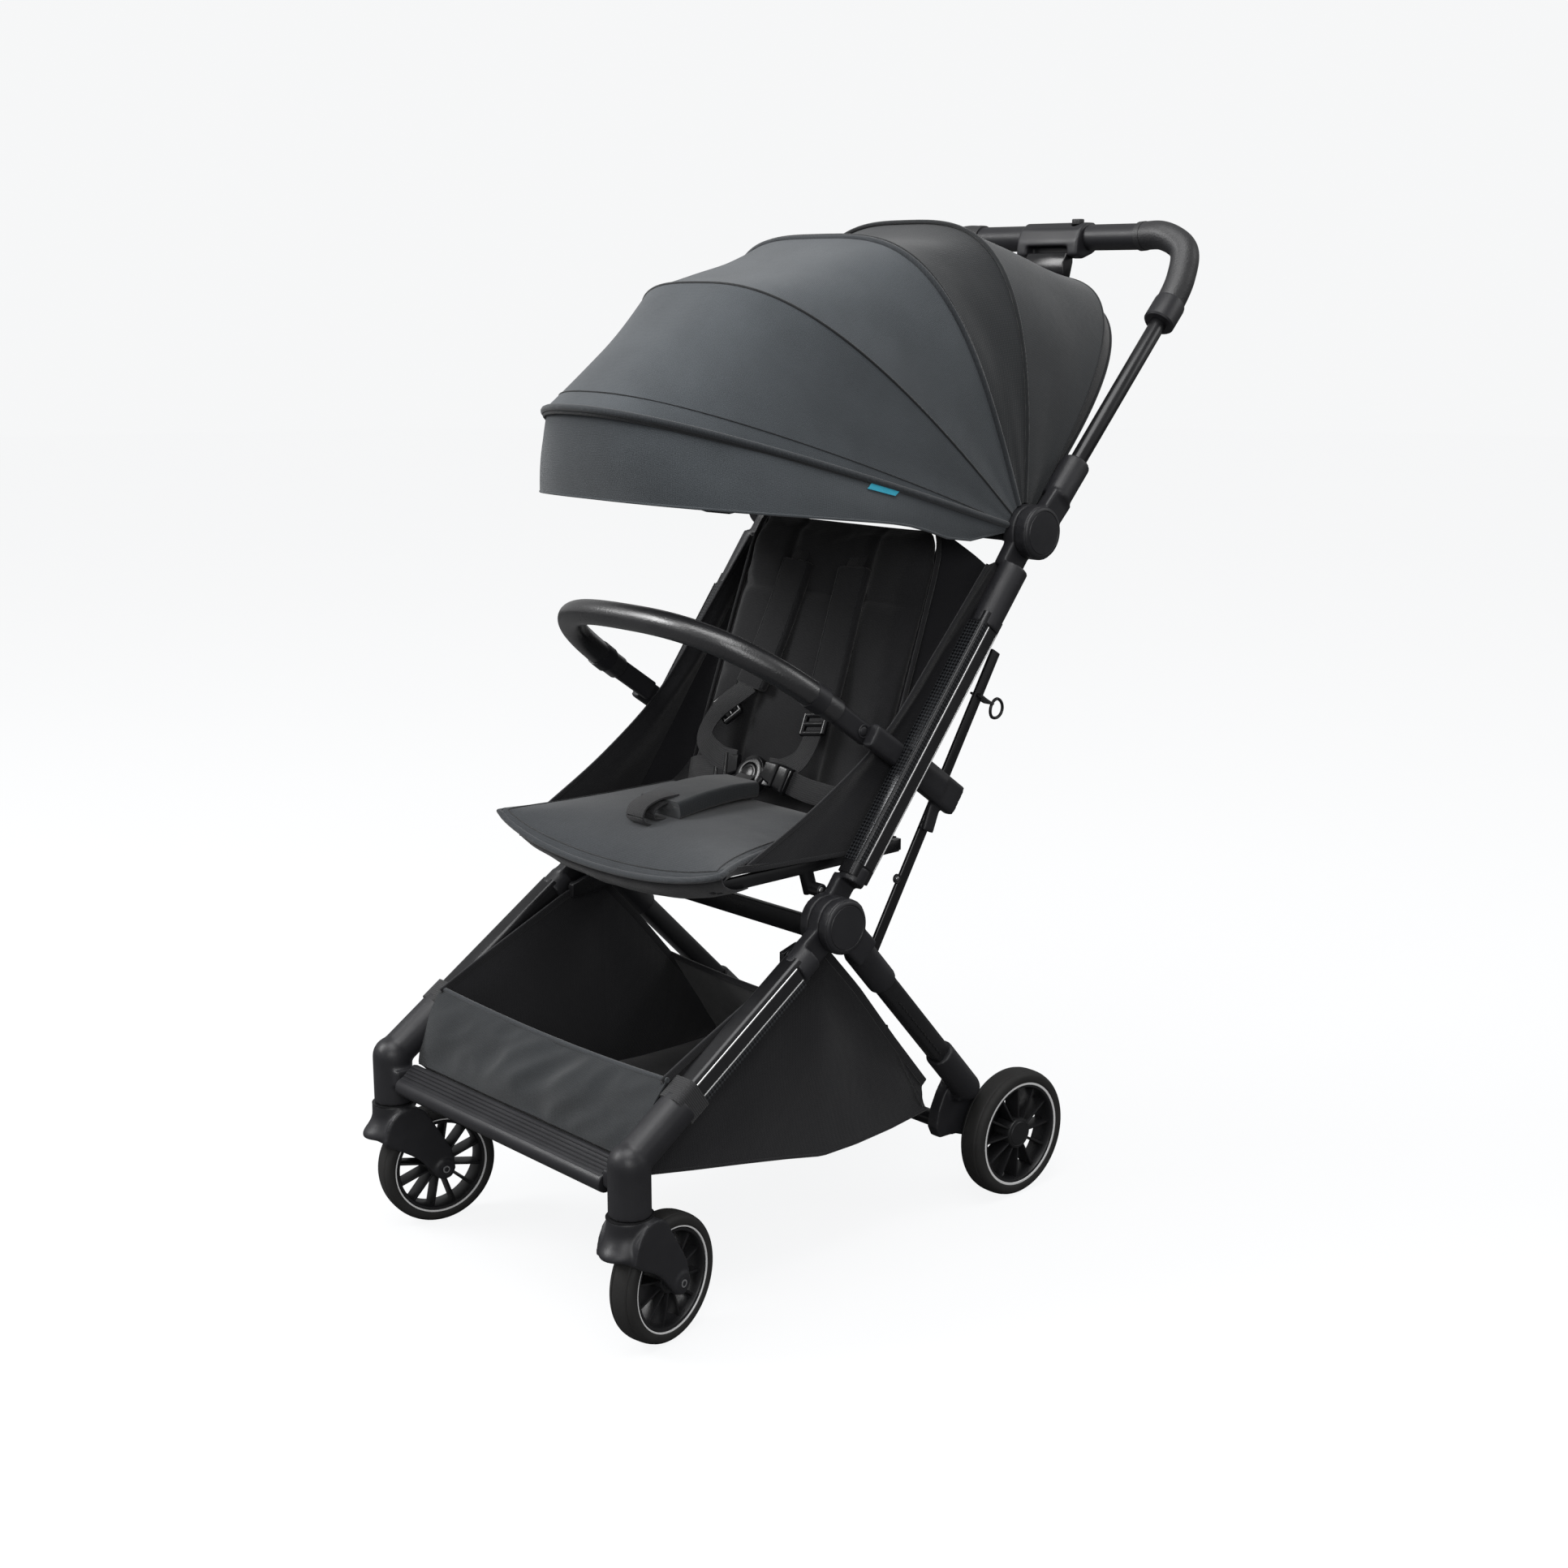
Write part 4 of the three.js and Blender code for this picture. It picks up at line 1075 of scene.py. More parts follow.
def bumper(start=0.12, steps=72, reach=197, half_width=175, power=2.8):
    path = [arch_point(BUMPER_ROOT, BUMPER_ANGLE, reach, half_width, power, turn) for turn in turns(start,
                                                                                                    steps)]
    sideways = Vector((0, -math.sin(BUMPER_ANGLE), math.cos(BUMPER_ANGLE)))
    low = Vector((0, math.cos(BUMPER_ANGLE), math.sin(BUMPER_ANGLE)))
    ring = [(x * 1.03, y * 0.97) for x, y in circle(13.5, 32)]
    pad = sweep("bumper_pad", path, ring, BUMPER_LEATHER, "bumper", sideways)
    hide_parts("bumper_bar")
    for name, sign in SIDES:
        root = sided(at(173, *BUMPER_ROOT), sign)
        rod(f"bumper_arm_{name}", root - low * 0.011, root + low * 0.066, rounded(22, 12, 4.5, 6), PLASTIC,
            "bumper",
            steps=8)
        near, far = (path[2], path[4]) if sign > 0 else (path[-3], path[-5])
        rod(f"bumper_collar_{name}", near, far, circle(14.6, 32), PLASTIC, "bumper", up=sideways, steps=3)
        bolt(f"bumper_pin_{name}", sided(at(180, *BUMPER_ROOT), sign), Vector((sign, 0, 0)), 5, "bumper",
             PLASTIC)
    seam_path = [point - sideways * 0.0137 for point in path[3:-3]]
    sweep("bumper_seam", seam_path, circle(0.7, 6), BUMPER_LEATHER, "bumper", sideways)


def handle_path():
    lift = (HANDLE_RING - HANDLE_BOTTOM).normalized()
    points = [HANDLE_RING, HANDLE_RING + lift * 0.022, at(189, 240, 1008), at(181, 254, 1038),
              at(152, 256, 1054),
              at(112, 256, 1054), at(46.5, 256, 1054)]
    return smooth_path(points, 72)


def handle_grips(share=0.80):
    """Leather over the first share of each half of the bar, then a plastic sleeve up to the housing."""
    path = handle_path()
    split = int(len(path) * share)
    lift = (path[2] - path[0]).normalized()
    collar = [(9, -4), (16, -4), (17.6, -2), (17.6, 24), (17.0, 27), (15.4, 28.5), (9, 28.5)]
    for name, sign in SIDES:
        half = [sided(point, sign) for point in path]
        for label, part, radius, material in (
                ("grip", half[:split], 15.8, LEATHER), ("sleeve", half[split - 2:], 14.6, PLASTIC),
                ("grip_end", half[split - 2:split + 1], 16.3, LEATHER)):
            piece = sweep(f"handle_{label}_{name}", part, circle(radius, 32), material, "handle",
                          Vector((0, 1, 0.2)))
            if (label, name) == ("grip", "left"):
                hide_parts("handlebar")
        lathe(f"handle_collar_{name}", collar, sided(HANDLE_RING, sign), sided(lift, sign), PLASTIC,
              "handle", 40)


bumper()
handle_grips()


# ---------------------------------------------------------------- seat

def follow_both(piece, start, end):
    tuple(start)
    tuple(end)
    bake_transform(piece)


def seat_half_width(share):
    """Half the seat pad's width from its flared front corners (0) to the backrest (1)."""
    return 147 + 39 * (1 - share) ** 3.2


def seat_edge(share_x, share_y):
    """A point on the pad's mid surface: the front edge droops between its two corners."""
    half = seat_half_width(share_y)
    front_y = -440 + 10 * abs(share_x) ** 4
    y = front_y + (-216 - front_y) * share_y
    droop = 27 * (1 - share_x ** 2) ** 0.8 * math.exp(-share_y * 7.5)
    hollow = 5 * (1 - share_x ** 2) * math.sin(math.pi * share_y)
    return at(half * share_x, y, 448 - droop + hollow + 4 * share_y)


def cushion_solid(name, face, half_thickness, across, along, material):
    """A closed pad round a middle surface: face gives its points and half_thickness its swelling."""
    points = []
    for layer in (1, -1):
        for i in range(along + 1):
            for k in range(across + 1):
                share_x, share_y = 2 * k / across - 1, i / along
                points.append(face(share_x, share_y, layer * half_thickness(share_x, share_y)))
    row, sheet = across + 1, (across + 1) * (along + 1)
    faces = []
    for i in range(along):
        for k in range(across):
            a = i * row + k
            faces.append((a, a + 1, a + row + 1, a + row))
            faces.append((sheet + a, sheet + a + row, sheet + a + row + 1, sheet + a + 1))
    rim = [k for k in range(row)] + [i * row + across for i in range(1, along + 1)]
    rim += [along * row + k for k in range(across - 1, -1, -1)] + [i * row for i in range(along - 1, 0, -1)]
    for a, b in zip(rim, rim[1:] + rim[:1]):
        faces.append((a, sheet + a, sheet + b, b))
    piece = make(name, points, faces, material, None)
    outward(piece.data)
    return piece


def pad_finish(piece, body, node):
    piece.modifiers.new("fine", "SUBSURF").levels = 1
    settle(piece)
    smooth(piece.data, 70)
    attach(piece, body)
    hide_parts(node)


def seat_pad():
    def face(share_x, share_y, lift):
        return seat_edge(share_x, share_y) + Vector((0, 0, lift / 1000))

    def swell(share_x, share_y):
        edge = min(1 - abs(share_x), share_y * 1.6, (1 - share_y) * 1.6)
        return 2.6 + 5.0 * min(1.0, edge / 0.2) ** 0.5

    pad = cushion_solid("seat_pad", face, swell, 48, 32, CHARCOAL_PAD)
    rim = [seat_edge(x, y) for x, y in rim_shares()]
    puff(pad, 4, 6, 5, lambda point: min((point - edge).length for edge in rim) < 0.008)
    pad_finish(pad, "seat_frame", "seat_cushion")
    path = [seat_edge(x * 0.985, 0.006 + y * 0.994) for x, y in rim_shares()]
    sweep("seat_piping", path, circle(3.4, 12), CHARCOAL_PAD, "seat_frame", Vector((0, 0.2, 1)))
    skin = BVHTree.FromPolygons([vertex.co for vertex in pad.data.vertices],
                                [face.vertices[:] for face in pad.data.polygons])
    inner = [laid_on(skin, seat_edge(x * 0.945, 0.03 + y * 0.94), 0.0004) for x, y in rim_shares()]
    sweep("seat_stitching", inner, circle(0.7, 6), PIPING, "seat_frame", Vector((0, 0.2, 1)))


def laid_on(skin, point, proud):
    """The place on the skin straight above a point inside it, standing proud by a little."""
    place = skin.ray_cast(point + Vector((0, 0, 0.04)), Vector((0, 0, -1)))[0]
    return (place or point) + Vector((0, 0, proud))


def rim_shares(count=40):
    """Round the pad's outline: the left side, across the front, then the right side."""
    sides = [(-1, 1 - k / count) for k in range(count)]
    front = [(2 * k / count - 1, 0) for k in range(count + 1)]
    return sides + front + [(1, k / count) for k in range(1, count + 1)]


def seat_gussets():
    """Black cloth on each side of the pad, from its edge out to the foot of the side cloth."""
    def place(s, t):
        inner = seat_edge(0.955, 0.01 + 0.96 * s) - Vector((0, 0, 0.003))
        outer = at(max(inner.x * 1000 + 2, 168.5 + 4 * s), -416 + 218 * s, 449 - 16 * s)
        return inner.lerp(outer, t) - Vector((0, 0, 6 * math.sin(math.pi * t) / 1000))

    for name, rows in both_sides(grid(24, 8, place, 0)):
        cloth_sheet(f"seat_gusset_{name}", rows, BLACK_CLOTH, "seat_frame")


def seat_sling():
    """The black cloth that carries the pad, slung between the two seat rails."""
    def place(s, x):
        sag = 9 * (1 - x * x) + 1.5 * wander(x * 4, s * 5, 1.0)
        return at(163 * x, -410 + 240 * s, 438 - sag * 0.9)

    cloth_sheet("seat_sling", grid(24, 24, place), BLACK_CLOTH, "seat_frame")


def seat_joint():
    """Cloth that closes the space between the pad's rear edge and the foot of the backrest."""
    def place(s, x):
        line = at(163 * x, -232, 446).lerp(back_point(150 * x, 30, 2), s)
        return line + Vector((0, 0, -9 * math.sin(math.pi * s) / 1000))

    joint = cloth_sheet("seat_joint", grid(8, 32, place), BLACK_CLOTH)
    follow_both(joint, at(0, -232, 446), back_point(0, 30, 2))


def rear_curtain(count=48):
    """The back of the hood: cloth from its rear hem down to the head of the backrest."""
    hem = hoop_row(shifted(BACK_EDGE, 0.5, -3, -2), 30, count)
    half = [at(184, -24, 738), at(150, -62, 744), at(128, -86, 750)]
    foot = smooth_path([*half, at(0, -88, 752), *(mirror(point) for point in reversed(half))], count)

    def place(s, k):
        swing = math.sin(math.pi * k / count)
        fold = (9 * math.sin(math.pi * s) + 4 * wander(k / 7, s * 3, 12.0)) * swing
        return hem[k].lerp(foot[k], s) + Vector((0, -0.62, 0.78)) * (fold * math.sin(math.pi * s) / -1000)

    rows = [[place(i / 18, k) for k in range(count + 1)] for i in range(19)]
    curtain = cloth_sheet("canopy_rear_curtain", rows, MESH_CLOTH, held="hung")
    follow_both(curtain, at(0, -18, 750), at(0, -86, 750))


def seat_lining():
    """The black lip that hangs under the pad's front edge and wraps the seat's front bar."""
    def place(s, x):
        top = seat_edge(x * 0.985, 0.02) - Vector((0, 0, 0.004))
        drop = (19 + 7 * (1 - abs(x) ** 3)) * math.sin(s * math.pi / 2)
        back = 34 * s ** 2 + 10 * s
        crease = 1.4 * wander(x * 6, s * 2, 3.0)
        return top + Vector((-x * 0.012 * s, back / 1000, (crease - drop) / 1000))

    cloth_sheet("seat_front_lining", grid(8, 48, place), BLACK_CLOTH, "seat_frame")


BACK_ANGLE = math.radians(70)
BACK_ROOT = (-192, 448)
BACK_ALONG = Vector((0, math.cos(BACK_ANGLE), math.sin(BACK_ANGLE)))
BACK_OUT = Vector((0, -math.sin(BACK_ANGLE), math.cos(BACK_ANGLE)))


def back_point(x, along, out):
    """A place on the backrest: x sideways, along it from its foot, and out of its face, in millimetres."""
    return at(x, *BACK_ROOT) + BACK_ALONG * (along / 1000) + BACK_OUT * (out / 1000)


def backrest_pad():
    def face(share_x, share_y, lift):
        narrow = 1 - 0.03 * share_y ** 2
        corner = 1 - 0.10 * max(0, (share_y - 0.86) / 0.14) ** 2
        return back_point(148 * share_x * narrow * corner, 325 * share_y, lift)

    def swell(share_x, share_y):
        edge = min(1 - abs(share_x), share_y, 1 - share_y)
        return 3.0 + 6.0 * min(1.0, edge / 0.14) ** 0.5

    pad = cushion_solid("backrest_pad", face, swell, 40, 44, BLACK_PAD)
    puff(pad, 4, 7, 5.5, lambda point: False)
    press_seams(pad, (-62, 62), (236,))
    pad_finish(pad, "backrest", "backrest")
    rim = [(-1, k / 20) for k in range(21)] + [(2 * k / 20 - 1, 1) for k in range(1, 21)]
    rim += [(1, 1 - k / 20) for k in range(1, 21)]
    path = [face(x, y, 0) for x, y in rim]
    sweep("backrest_piping", path, circle(2.6, 10), BLACK_PAD, "backrest", BACK_OUT)


def press_seams(piece, seams_x, seams_along):
    """Draws the face in along sewn lines."""
    for vertex in piece.data.vertices:
        away = vertex.co - at(0, *BACK_ROOT)
        x, along, out = vertex.co.x * 1000, away.dot(BACK_ALONG) * 1000, away.dot(BACK_OUT) * 1000
        if out < 0:
            continue
        depth = sum(math.exp(-((x - seam) / 5) ** 2) for seam in seams_x)
        depth += sum(math.exp(-((along - seam) / 5) ** 2) for seam in seams_along if abs(x) < 150)
        vertex.co -= BACK_OUT * (min(depth, 1.2) * 0.0045 * min(1, out / 4))


def wings():
    """Cloth between each side tube and the backrest's edge, which gathers a little at the foot."""
    for name, sign in SIDES:
        def place(share, s, seed=sign * 2.0):
            tube = MAIN_BOTTOM.lerp(MAIN_TOP, 0.16 + 0.72 * share) + Vector((-0.017, 0, 0))
            belly = 16 * math.sin(math.pi * s) * (1 - 0.5 * share)
            fold = 3.0 * wander(s * 3, share * 5, seed) * math.sin(math.pi * s)
            edge = back_point(134, -14 + 336 * share, -3)
            return tube.lerp(edge, s) - BACK_OUT * ((belly + fold) / 1000)

        rows = [[sided(point, sign) for point in row] for row in grid(18, 12, place, 0)]
        wing = cloth_sheet(f"seat_wing_{name}", rows, BLACK_CLOTH, subdivide=1)
        start, end = Vector((sign * 0.184, 0, 0)), Vector((sign * 0.146, 0, 0))
        follow_both(wing, start, end)


def side_panel_rows():
    """From the free front edge back to the left tube; the lower edge runs along the seat rail."""
    front = smooth_path([at(186, -62, 716), at(183, -132, 634), at(179, -206, 552), at(173, -292, 492),
                         at(167, -388, 441)], 28)

    def place(k, s):
        down = k / 28
        tube = MAIN_BOTTOM.lerp(MAIN_TOP, 0.93 - 0.765 * k / 28) + Vector((-0.0145, 0, 0))
        belly = 7 * math.sin(math.pi * s) * math.sin(math.pi * min(1, down * 1.1))
        crease = 2.0 * wander(s * 3, down * 6, 5.0) * math.sin(math.pi * s)
        inner = tube + Vector((-0.004 * down, 0, 0))
        return front[k].lerp(inner, s) + Vector(((crease - belly) / 1000, 0, 0))

    return [[place(k, i / 16) for i in range(17)] for k in range(29)]


def side_panels():
    edging = rounded(5, 3.2, 1.2, 2)
    for name, rows in both_sides(side_panel_rows()):
        side_cloth = cloth_sheet(f"side_panel_{name}", rows, BLACK_CLOTH, subdivide=1)
        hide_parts(f"seat_side_{name}")
        hem = sweep(f"side_panel_hem_{name}", [row[0] for row in rows], edging, BLACK_CLOTH, None, SIDEWAYS)
        foot = sweep(f"side_panel_foot_{name}", rows[-1], edging, BLACK_CLOTH, None, SIDEWAYS)
        for piece in (side_cloth, hem, foot):
            fold_to_tube(piece)


def fold_to_tube(piece):
    """Puts the side cloth on the back frame, with a mesh of its own."""
    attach(piece, "back_frame")
    way = (MAIN_TOP - MAIN_BOTTOM).normalized().cross(SIDEWAYS)
    tuple(MAIN_BOTTOM)
    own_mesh(piece)


def strap(name, path, width, body, thickness=1.8, up=None, steps=40):
    """Flat webbing along a smooth route; up is the way its face looks."""
    outline = rounded(width, thickness, thickness * 0.45, 2)
    return sweep(name, smooth_path(path, steps), outline, STRAP, body, up or BACK_OUT)


def adjuster(name, centre, along, out, body, width=31, height=21):
    """A moulded ladder frame: rounded outer border, a cross bar and two openings for the webbing."""
    across = along.cross(out).normalized()

    def bar(label, way, way_offset, side, half, ring):
        place = centre + way * (way_offset / 1000)
        rod(f"{name}.{label}", place - side * half, place + side * half, ring, GLOSS_PLASTIC, body, up=out,
            steps=6)

    for label, offset, length in (("top", height / 2, width), ("bar", 0, width - 4),
                                  ("foot", -height / 2, width)):
        bar(label, along, offset, across, length / 2000, rounded(6.2, 6.4, 2.8, 4))
    for label, offset in (("left", -width / 2), ("right", width / 2)):
        bar(label, across, offset, along, height / 2000 + 0.001, rounded(6.4, 6.6, 2.9, 4))


def back_route(sign, *places):
    """Places near the backrest, each as sideways from its middle, along it and out of its face."""
    return [back_point(sign * x, along, out) for x, along, out in places]


def shoulder_harness():
    for name, sign in SIDES:
        route = smooth_path(back_route(sign, (44, 268, 17), (47, 220, 19), (52, 165, 22), (58, 118, 27)), 36)
        sleeve = sweep(f"shoulder_pad_{name}", route, rounded(46, 10, 4.6, 5), BLACK_PAD, "backrest",
                       BACK_OUT)
        sleeve.modifiers.new("soft", "SUBSURF").levels = 1
        settle(sleeve)
        for label, shift in (("inner", -0.019), ("outer", 0.019)):
            edge = [point + Vector((shift, 0, 0)) + BACK_OUT * 0.0046 for point in route]
            sweep(f"shoulder_seam_{name}_{label}", edge, circle(0.6, 6), PIPING, "backrest", BACK_OUT,
                  slot="black_cloth")
        strap(f"shoulder_strap_{name}", back_route(sign, (43, 292, 11), (44, 268, 18)), 25, "backrest",
              steps=10)
        wide, lift = (0, 0) if sign > 0 else (22, 12)
        lower = back_route(sign, (58, 122, 27), (64 + wide, 84, 34 + lift / 2), (60 + wide, 52, 40 + lift),
                           (42 + wide / 2, 36, 47 + lift / 3), (27, 34, 50))
        strap(f"harness_strap_{name}", lower, 25, "backrest")
        adjuster(f"harness_adjuster_{name}", back_point(sign * (61 + wide * 0.8), 92, 33),
                 (lower[1] - lower[0]).normalized(), BACK_OUT, "backrest")
        lap = back_route(sign, (138, 16, 12), (112, 20, 26), (76, 22, 38), (50, 27, 46))
        strap(f"lap_strap_{name}", lap, 25, "backrest")
        tongue(name, sign)


def tongue(name, sign):
    """The clip that plugs into the buckle: a tapered block with a raised frame that holds the webbing."""
    start, end = back_route(sign, (58, 25, 45), (21, 33, 49))
    rod(f"harness_tongue_{name}", start, end, rounded(30, 9, 4, 5), GLOSS_PLASTIC, "backrest", up=BACK_OUT,
        steps=12, scale=lambda t: 1.0 - 0.35 * t ** 2)
    side = (end - start).normalized().cross(BACK_OUT).normalized()
    for label, place in (("rear", 0.10), ("front", 0.52)):
        centre = start.lerp(end, place) + BACK_OUT * 0.0042
        rod(f"harness_tongue_rib_{name}_{label}", centre - side * 0.0125, centre + side * 0.0125,
            rounded(4.4, 4, 1.8, 4), GLOSS_PLASTIC, "backrest", up=BACK_OUT, steps=6)


def buckle_covers():
    """A domed cover round the push button, in the buckle's own plane."""
    centre = middle("buckle_button")
    way = Vector((0, -0.88295, 0.46947))
    ring = [(11.6, -4), (20.6, -4), (21.6, -2.5), (21.4, 0.2), (19.0, 2.2), (15.0, 3.1), (12.6, 2.9),
            (11.6, 1.8)]
    lathe("buckle_cover", ring, centre, way, GLOSS_PLASTIC, "backrest", 56)
    dome = [(0, -2.5), (10.4, -2.5), (10.9, -1.4), (10.7, 1.6), (9.0, 2.9), (5.5, 3.7), (0, 4.0)]
    lathe("buckle_button_cap", dome, centre, way, GLOSS_PLASTIC, "buckle_button", 48)


def crotch_harness():
    """A grey padded sleeve lies forward along the seat, with webbing looping out of its front end."""
    def route(*places):
        return [at(0, y, z) for y, z in places]

    # The sleeve's cloth is the charcoal darkened as painted shade.
    sleeve = sweep("crotch_pad", smooth_path(route((-242, 477), (-276, 479), (-318, 477), (-354, 472)), 30),
                   rounded(62, 18, 5.5, 6), CHARCOAL_PAINTED_SHADE, "seat_frame", UP,
                   scale=lambda t: 0.86 + 0.2 * math.sin(math.pi * (0.1 + 0.6 * t)))
    outer_loop = route((-340, 484), (-366, 483), (-384, 476), (-388, 465), (-378, 458), (-350, 456))
    strap("crotch_strap", outer_loop, 28, "seat_frame", 2.4, UP)
    inner_loop = route((-344, 478), (-362, 477), (-373, 471), (-372, 464), (-356, 461))
    strap("crotch_fold", inner_loop, 28, "seat_frame", 2.4, UP)
    strap("crotch_tail", route((-244, 483), (-234, 487), (-226, 489)), 25, "seat_frame", up=UP, steps=10)


def recline_tab():
    """A short webbing tab with a D-shaped ring, sewn to the brace on the left side."""
    tab = [at(172, -62, 578), at(172, -50, 570), at(172, -41, 565)]
    strap("recline_tab", tab, 16, "back_frame", 2.4, Vector((0, 0.5, 1)), 12)
    way, lift = Vector((0, 0.92, -0.38)), Vector((0.0, 0.38, 0.92))
    path = []
    for k in range(33):
        turn = 2 * math.pi * k / 32
        flat = 1.0 if math.cos(turn) > -0.35 else 0.72
        along, across = 0.011 * math.cos(turn) * flat, 0.0105 * math.sin(turn)
        path.append(at(172, -30, 558) + way * along + lift * across)
    sweep("recline_ring", path, circle(1.7, 12), TUBE, "back_frame", SIDEWAYS, caps=False)


def seat():
    seat_pad()
    seat_gussets()
    seat_sling()
    seat_joint()
    rear_curtain()
    seat_lining()
    backrest_pad()
    wings()
    side_panels()
    shoulder_harness()
    crotch_harness()
    buckle_covers()
    recline_tab()


seat()


# ---------------------------------------------------------------- basket

BASKET_STATIONS = (
    ((-509, 258), (-530, 172), 187), ((-455, 284), (-470, 160), 186), ((-400, 309), (-406, 148), 185),
    ((-345, 334), (-345, 136), 184), ((-298, 350), (-295, 125), 183), ((-244, 292), (-244, 123), 180),
    ((-188, 224), (-188, 124), 176), ((-132, 160), (-128, 128), 171),
)


def basket_row(share):
    """From the left top edge down, across the floor and up to the right top edge."""
    place = share * (len(BASKET_STATIONS) - 1)
    i = min(int(place), len(BASKET_STATIONS) - 2)
    t = place - i
    (top_a, low_a, wide_a), (top_b, low_b, wide_b) = BASKET_STATIONS[i], BASKET_STATIONS[i + 1]
    top = [a + (b - a) * t for a, b in zip(top_a, top_b)]
    low = [a + (b - a) * t for a, b in zip(low_a, low_b)]
    wide = wide_a + (wide_b - wide_a) * t
    half = []
    for k in range(15):
        s = k / 14
        x = wide - 5 * math.sin(math.pi * s) * (1 + 0.8 * wander(share * 6, s * 3, 2.0))
        half.append(at(x, top[0] + (low[0] - top[0]) * s, top[1] + (low[1] - top[1]) * s))
    floor = []
    for k in range(1, 16):
        s = k / 16
        x = wide * (1 - 2 * s) * 0.99
        sag = 5 * math.sin(math.pi * s) + 2 * wander(s * 5, share * 5, 8.0)
        floor.append(at(x, low[0], low[1] - sag + 3))
    other = [mirror(point) for point in reversed(half)]
    return half + floor + other


def basket_tub():
    rows = [basket_row(i / 36) for i in range(37)]
    tub = cloth_sheet("basket_tub", rows, BLACK_CLOTH, held="hung", thickness=1.8, smooth_angle=50)
    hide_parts("basket")
    pieces = [tub]
    bindings = (("hem", (0, -1), rounded(9, 3.4, 1.3, 2)), ("edge", (14, -15), circle(2.0, 8)))
    for label, picks, ring in bindings:
        for (name, _), pick in zip(SIDES, picks):
            path = [row[pick] for row in rows]
            pieces.append(sweep(f"basket_{label}_{name}", path, ring, BLACK_CLOTH, None, SIDEWAYS))
    for piece in pieces:
        follow_both(piece, at(0, -400, 200), at(0, -190, 200))


def basket_front():
    """The grey front panel, wrinkled where it is drawn round the foot board."""
    def place(s, x):
        top = at(191 * x, -505 + 2 * (1 - x * x), 261 - 7 * (1 - x * x))
        point = top.lerp(at(186 * x, -541, 186), s)
        slant = wander(x * 2.6 + s * 1.3, s * 1.1 - x * 1.2, 4.0)
        crush = wander(x * 4.2 + s * 2.2, s * 1.6 - x * 1.4, 9.0)
        puckers = slant * 8 + (1 - abs(crush) * 3) * 2.2
        bulge = 7 * math.sin(math.pi * s)
        push = (bulge + puckers * math.sin(math.pi * s) ** 0.5 * (1 - x ** 8)) / 1000
        return point + Vector((0, -0.86, 0.5)) * push * 0.9

    def under(s, x):
        return at(186 * x, -541 + 14 * s, 186 - 15 * s + 2 * math.sin(math.pi * s))

    rows = grid(22, 64, place)
    # The panel's cloth is the charcoal darkened as painted shade.
    cloth_sheet("basket_front_panel", rows, CHARCOAL_PAINTED_SHADE, "front_frame", "hung", thickness=1.8, subdivide=1)
    sweep("basket_front_hem", rows[0], circle(2.6, 10), CHARCOAL_PAD, "front_frame", Vector((0, 0.3, 1)))
    cloth_sheet("basket_front_gusset", grid(6, 32, under), BLACK_CLOTH, "front_frame", "hung")


def basket_rear():
    def place(s, x):
        top = at(178 * x, -196 + 6 * (1 - x * x), 238 - 10 * (1 - x * x))
        belly = 7 * math.sin(math.pi * s) * (1 - x ** 4) + 2.5 * wander(x * 5, s * 3, 6.0)
        return top.lerp(at(172 * x, -131, 130), s) + Vector((0, 0.8, -0.5)) * (belly / 1000)

    rows = grid(12, 40, place)
    cloth_sheet("basket_rear_panel", rows, BLACK_CLOTH, "rear_frame", "hung", thickness=1.8, subdivide=1)
    sweep("basket_rear_hem", rows[0], rounded(7, 3.4, 1.4, 2), BLACK_CLOTH, "rear_frame", REARWARDS)


def tube_loop(name, start, end, share, body, width=26, outline=(35, 29)):
    """Webbing wrapped once round a straight tube and stitched to itself."""
    centre = start.lerp(end, share)
    along = (end - start).normalized()
    across = along.cross(SIDEWAYS).normalized()
    lift = across.cross(along).normalized()
    ring = rounded(*outline, 7, 8)
    rows = []
    for k in range(3):
        place = centre + along * (width * (k / 2 - 0.5) / 1000)
        rows.append([place + across * (u / 1000) + lift * (v / 1000) for u, v in ring + ring[:1]])
    cloth_sheet(name, rows, STRAP, body, "folded", thickness=1.8, smooth_angle=50)


def basket_loops():
    for name, sign in SIDES:
        tube_loop(f"basket_loop_front_{name}", sided(LEG_TOP, sign), sided(LEG_BOTTOM, sign), 0.745,
                  "front_frame")


def basket():
    basket_tub()
    basket_front()
    basket_rear()
    basket_loops()


basket()


# ---------------------------------------------------------------- stage

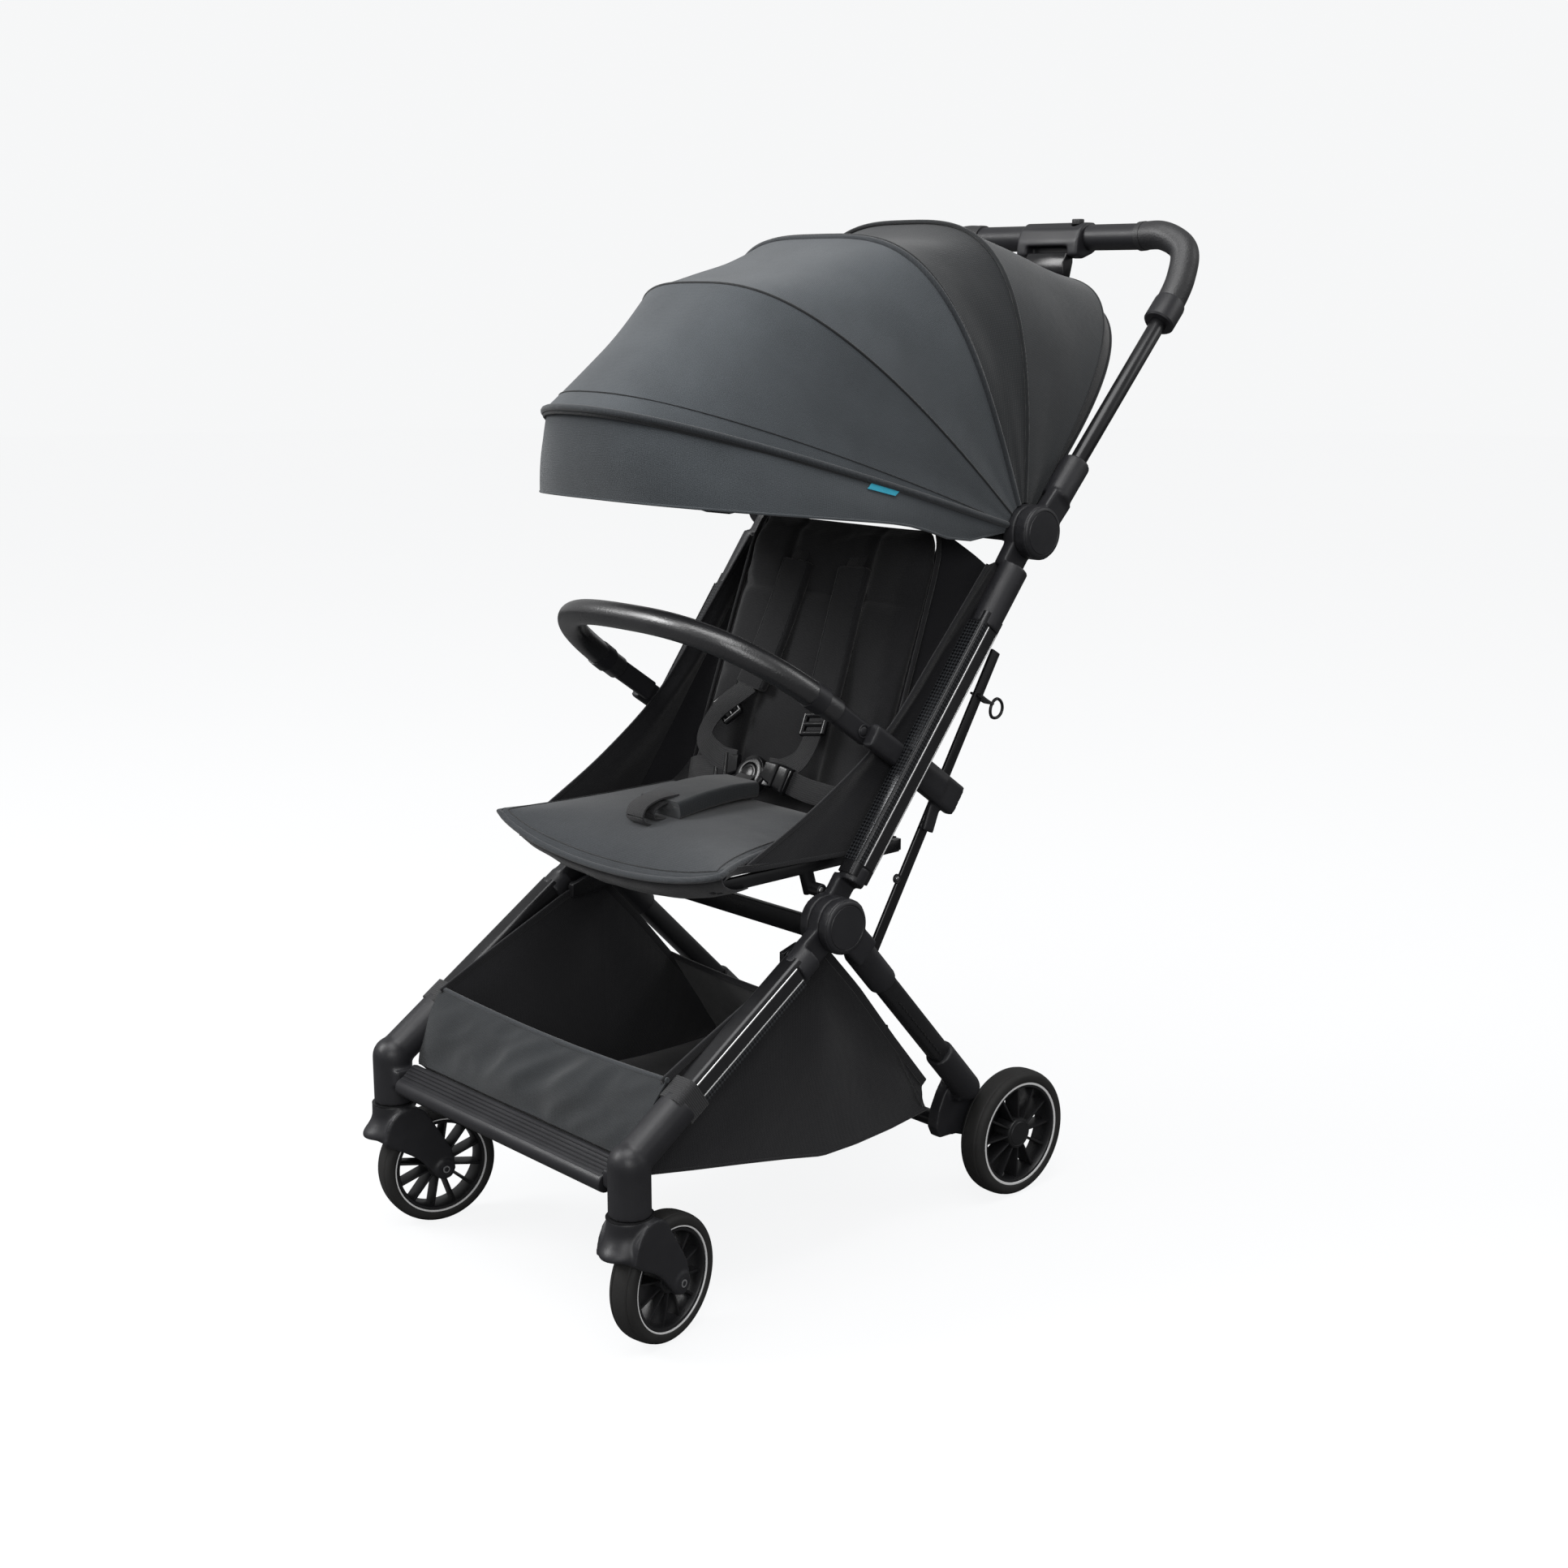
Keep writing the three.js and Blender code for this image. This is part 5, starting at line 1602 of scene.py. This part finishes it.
def studio_floor():
    """A pale floor that fades into the backdrop, so no edge shows behind the object."""
    steps, reach = 48, 14
    points = [(0, 0, 0)]
    points += [(reach * math.cos(2 * math.pi * k / steps), reach * math.sin(2 * math.pi * k / steps), 0)
               for k in range(steps)]
    mesh = bpy.data.meshes.new("studio_floor")
    mesh.from_pydata(points, [], [(0, k + 1, (k + 1) % steps + 1) for k in range(steps)])
    ground = placed("studio_floor", mesh)
    paint = Paint("studio_floor_paint")
    paint.colour(paint.noise(0.8), (0.115, 0.115, 0.117), (0.125, 0.125, 0.127))
    paint.set(Roughness=0.95, Specular_IOR_Level=0.0, Emission_Color=(0.93, 0.935, 0.94, 1))
    seen = paint.node("ShaderNodeLightPath").outputs["Is Camera Ray"]
    paint.join(paint.math("MULTIPLY", seen, 0.945), paint.shader.inputs["Emission Strength"])
    mesh.materials.append(paint.material)


def studio_lights():
    lamps = (
        ("key_light", (-2.0, -2.6, 2.8), 1.6, 92),
        ("fill_light", (3.4, -2.0, 1.4), 2.2, 14),
        ("rim_light", (2.2, 2.4, 2.4), 1.4, 14),
        ("top_light", (0.4, -0.8, 3.2), 2.2, 62),
        ("side_light", (3.0, -3.0, 2.4), 1.6, 36),
    )
    for name, place, size, power in lamps:
        lamp = bpy.data.lights.new(name, "AREA")
        lamp.size = size
        lamp.energy = power
        lamp_object = placed(name, lamp)
        lamp_object.location = place
        aim = Vector((0, 0, 0.55)) - Vector(place)
        lamp_object.rotation_euler = aim.to_track_quat("-Z", "Y").to_euler()


def studio():
    studio_floor()
    studio_lights()
    world = bpy.data.worlds.new("studio_world")
    world.use_nodes = True
    backdrop = world.node_tree.nodes["Background"]
    backdrop.inputs["Color"].default_value = (0.925, 0.93, 0.935, 1)
    light_path = world.node_tree.nodes.new("ShaderNodeLightPath")
    strength = world.node_tree.nodes.new("ShaderNodeMapRange")
    strength.inputs["To Min"].default_value = 0.36
    strength.inputs["To Max"].default_value = 1.0
    world.node_tree.links.new(light_path.outputs["Is Camera Ray"], strength.inputs["Value"])
    world.node_tree.links.new(strength.outputs["Result"], backdrop.inputs["Strength"])
    bpy.context.scene.world = world
    bpy.context.scene.view_settings.view_transform = "Standard"


def camera():
    lens = bpy.data.cameras.new("camera")
    lens.sensor_width = 36
    lens.lens = 50.31
    viewer = placed("camera", lens)
    viewer.location = at(1721.6, -1756.9, 997.3)
    viewer.rotation_euler = (math.radians(90 - 12.75), 0, math.radians(47.51))
    bpy.context.scene.camera = viewer


studio()
camera()
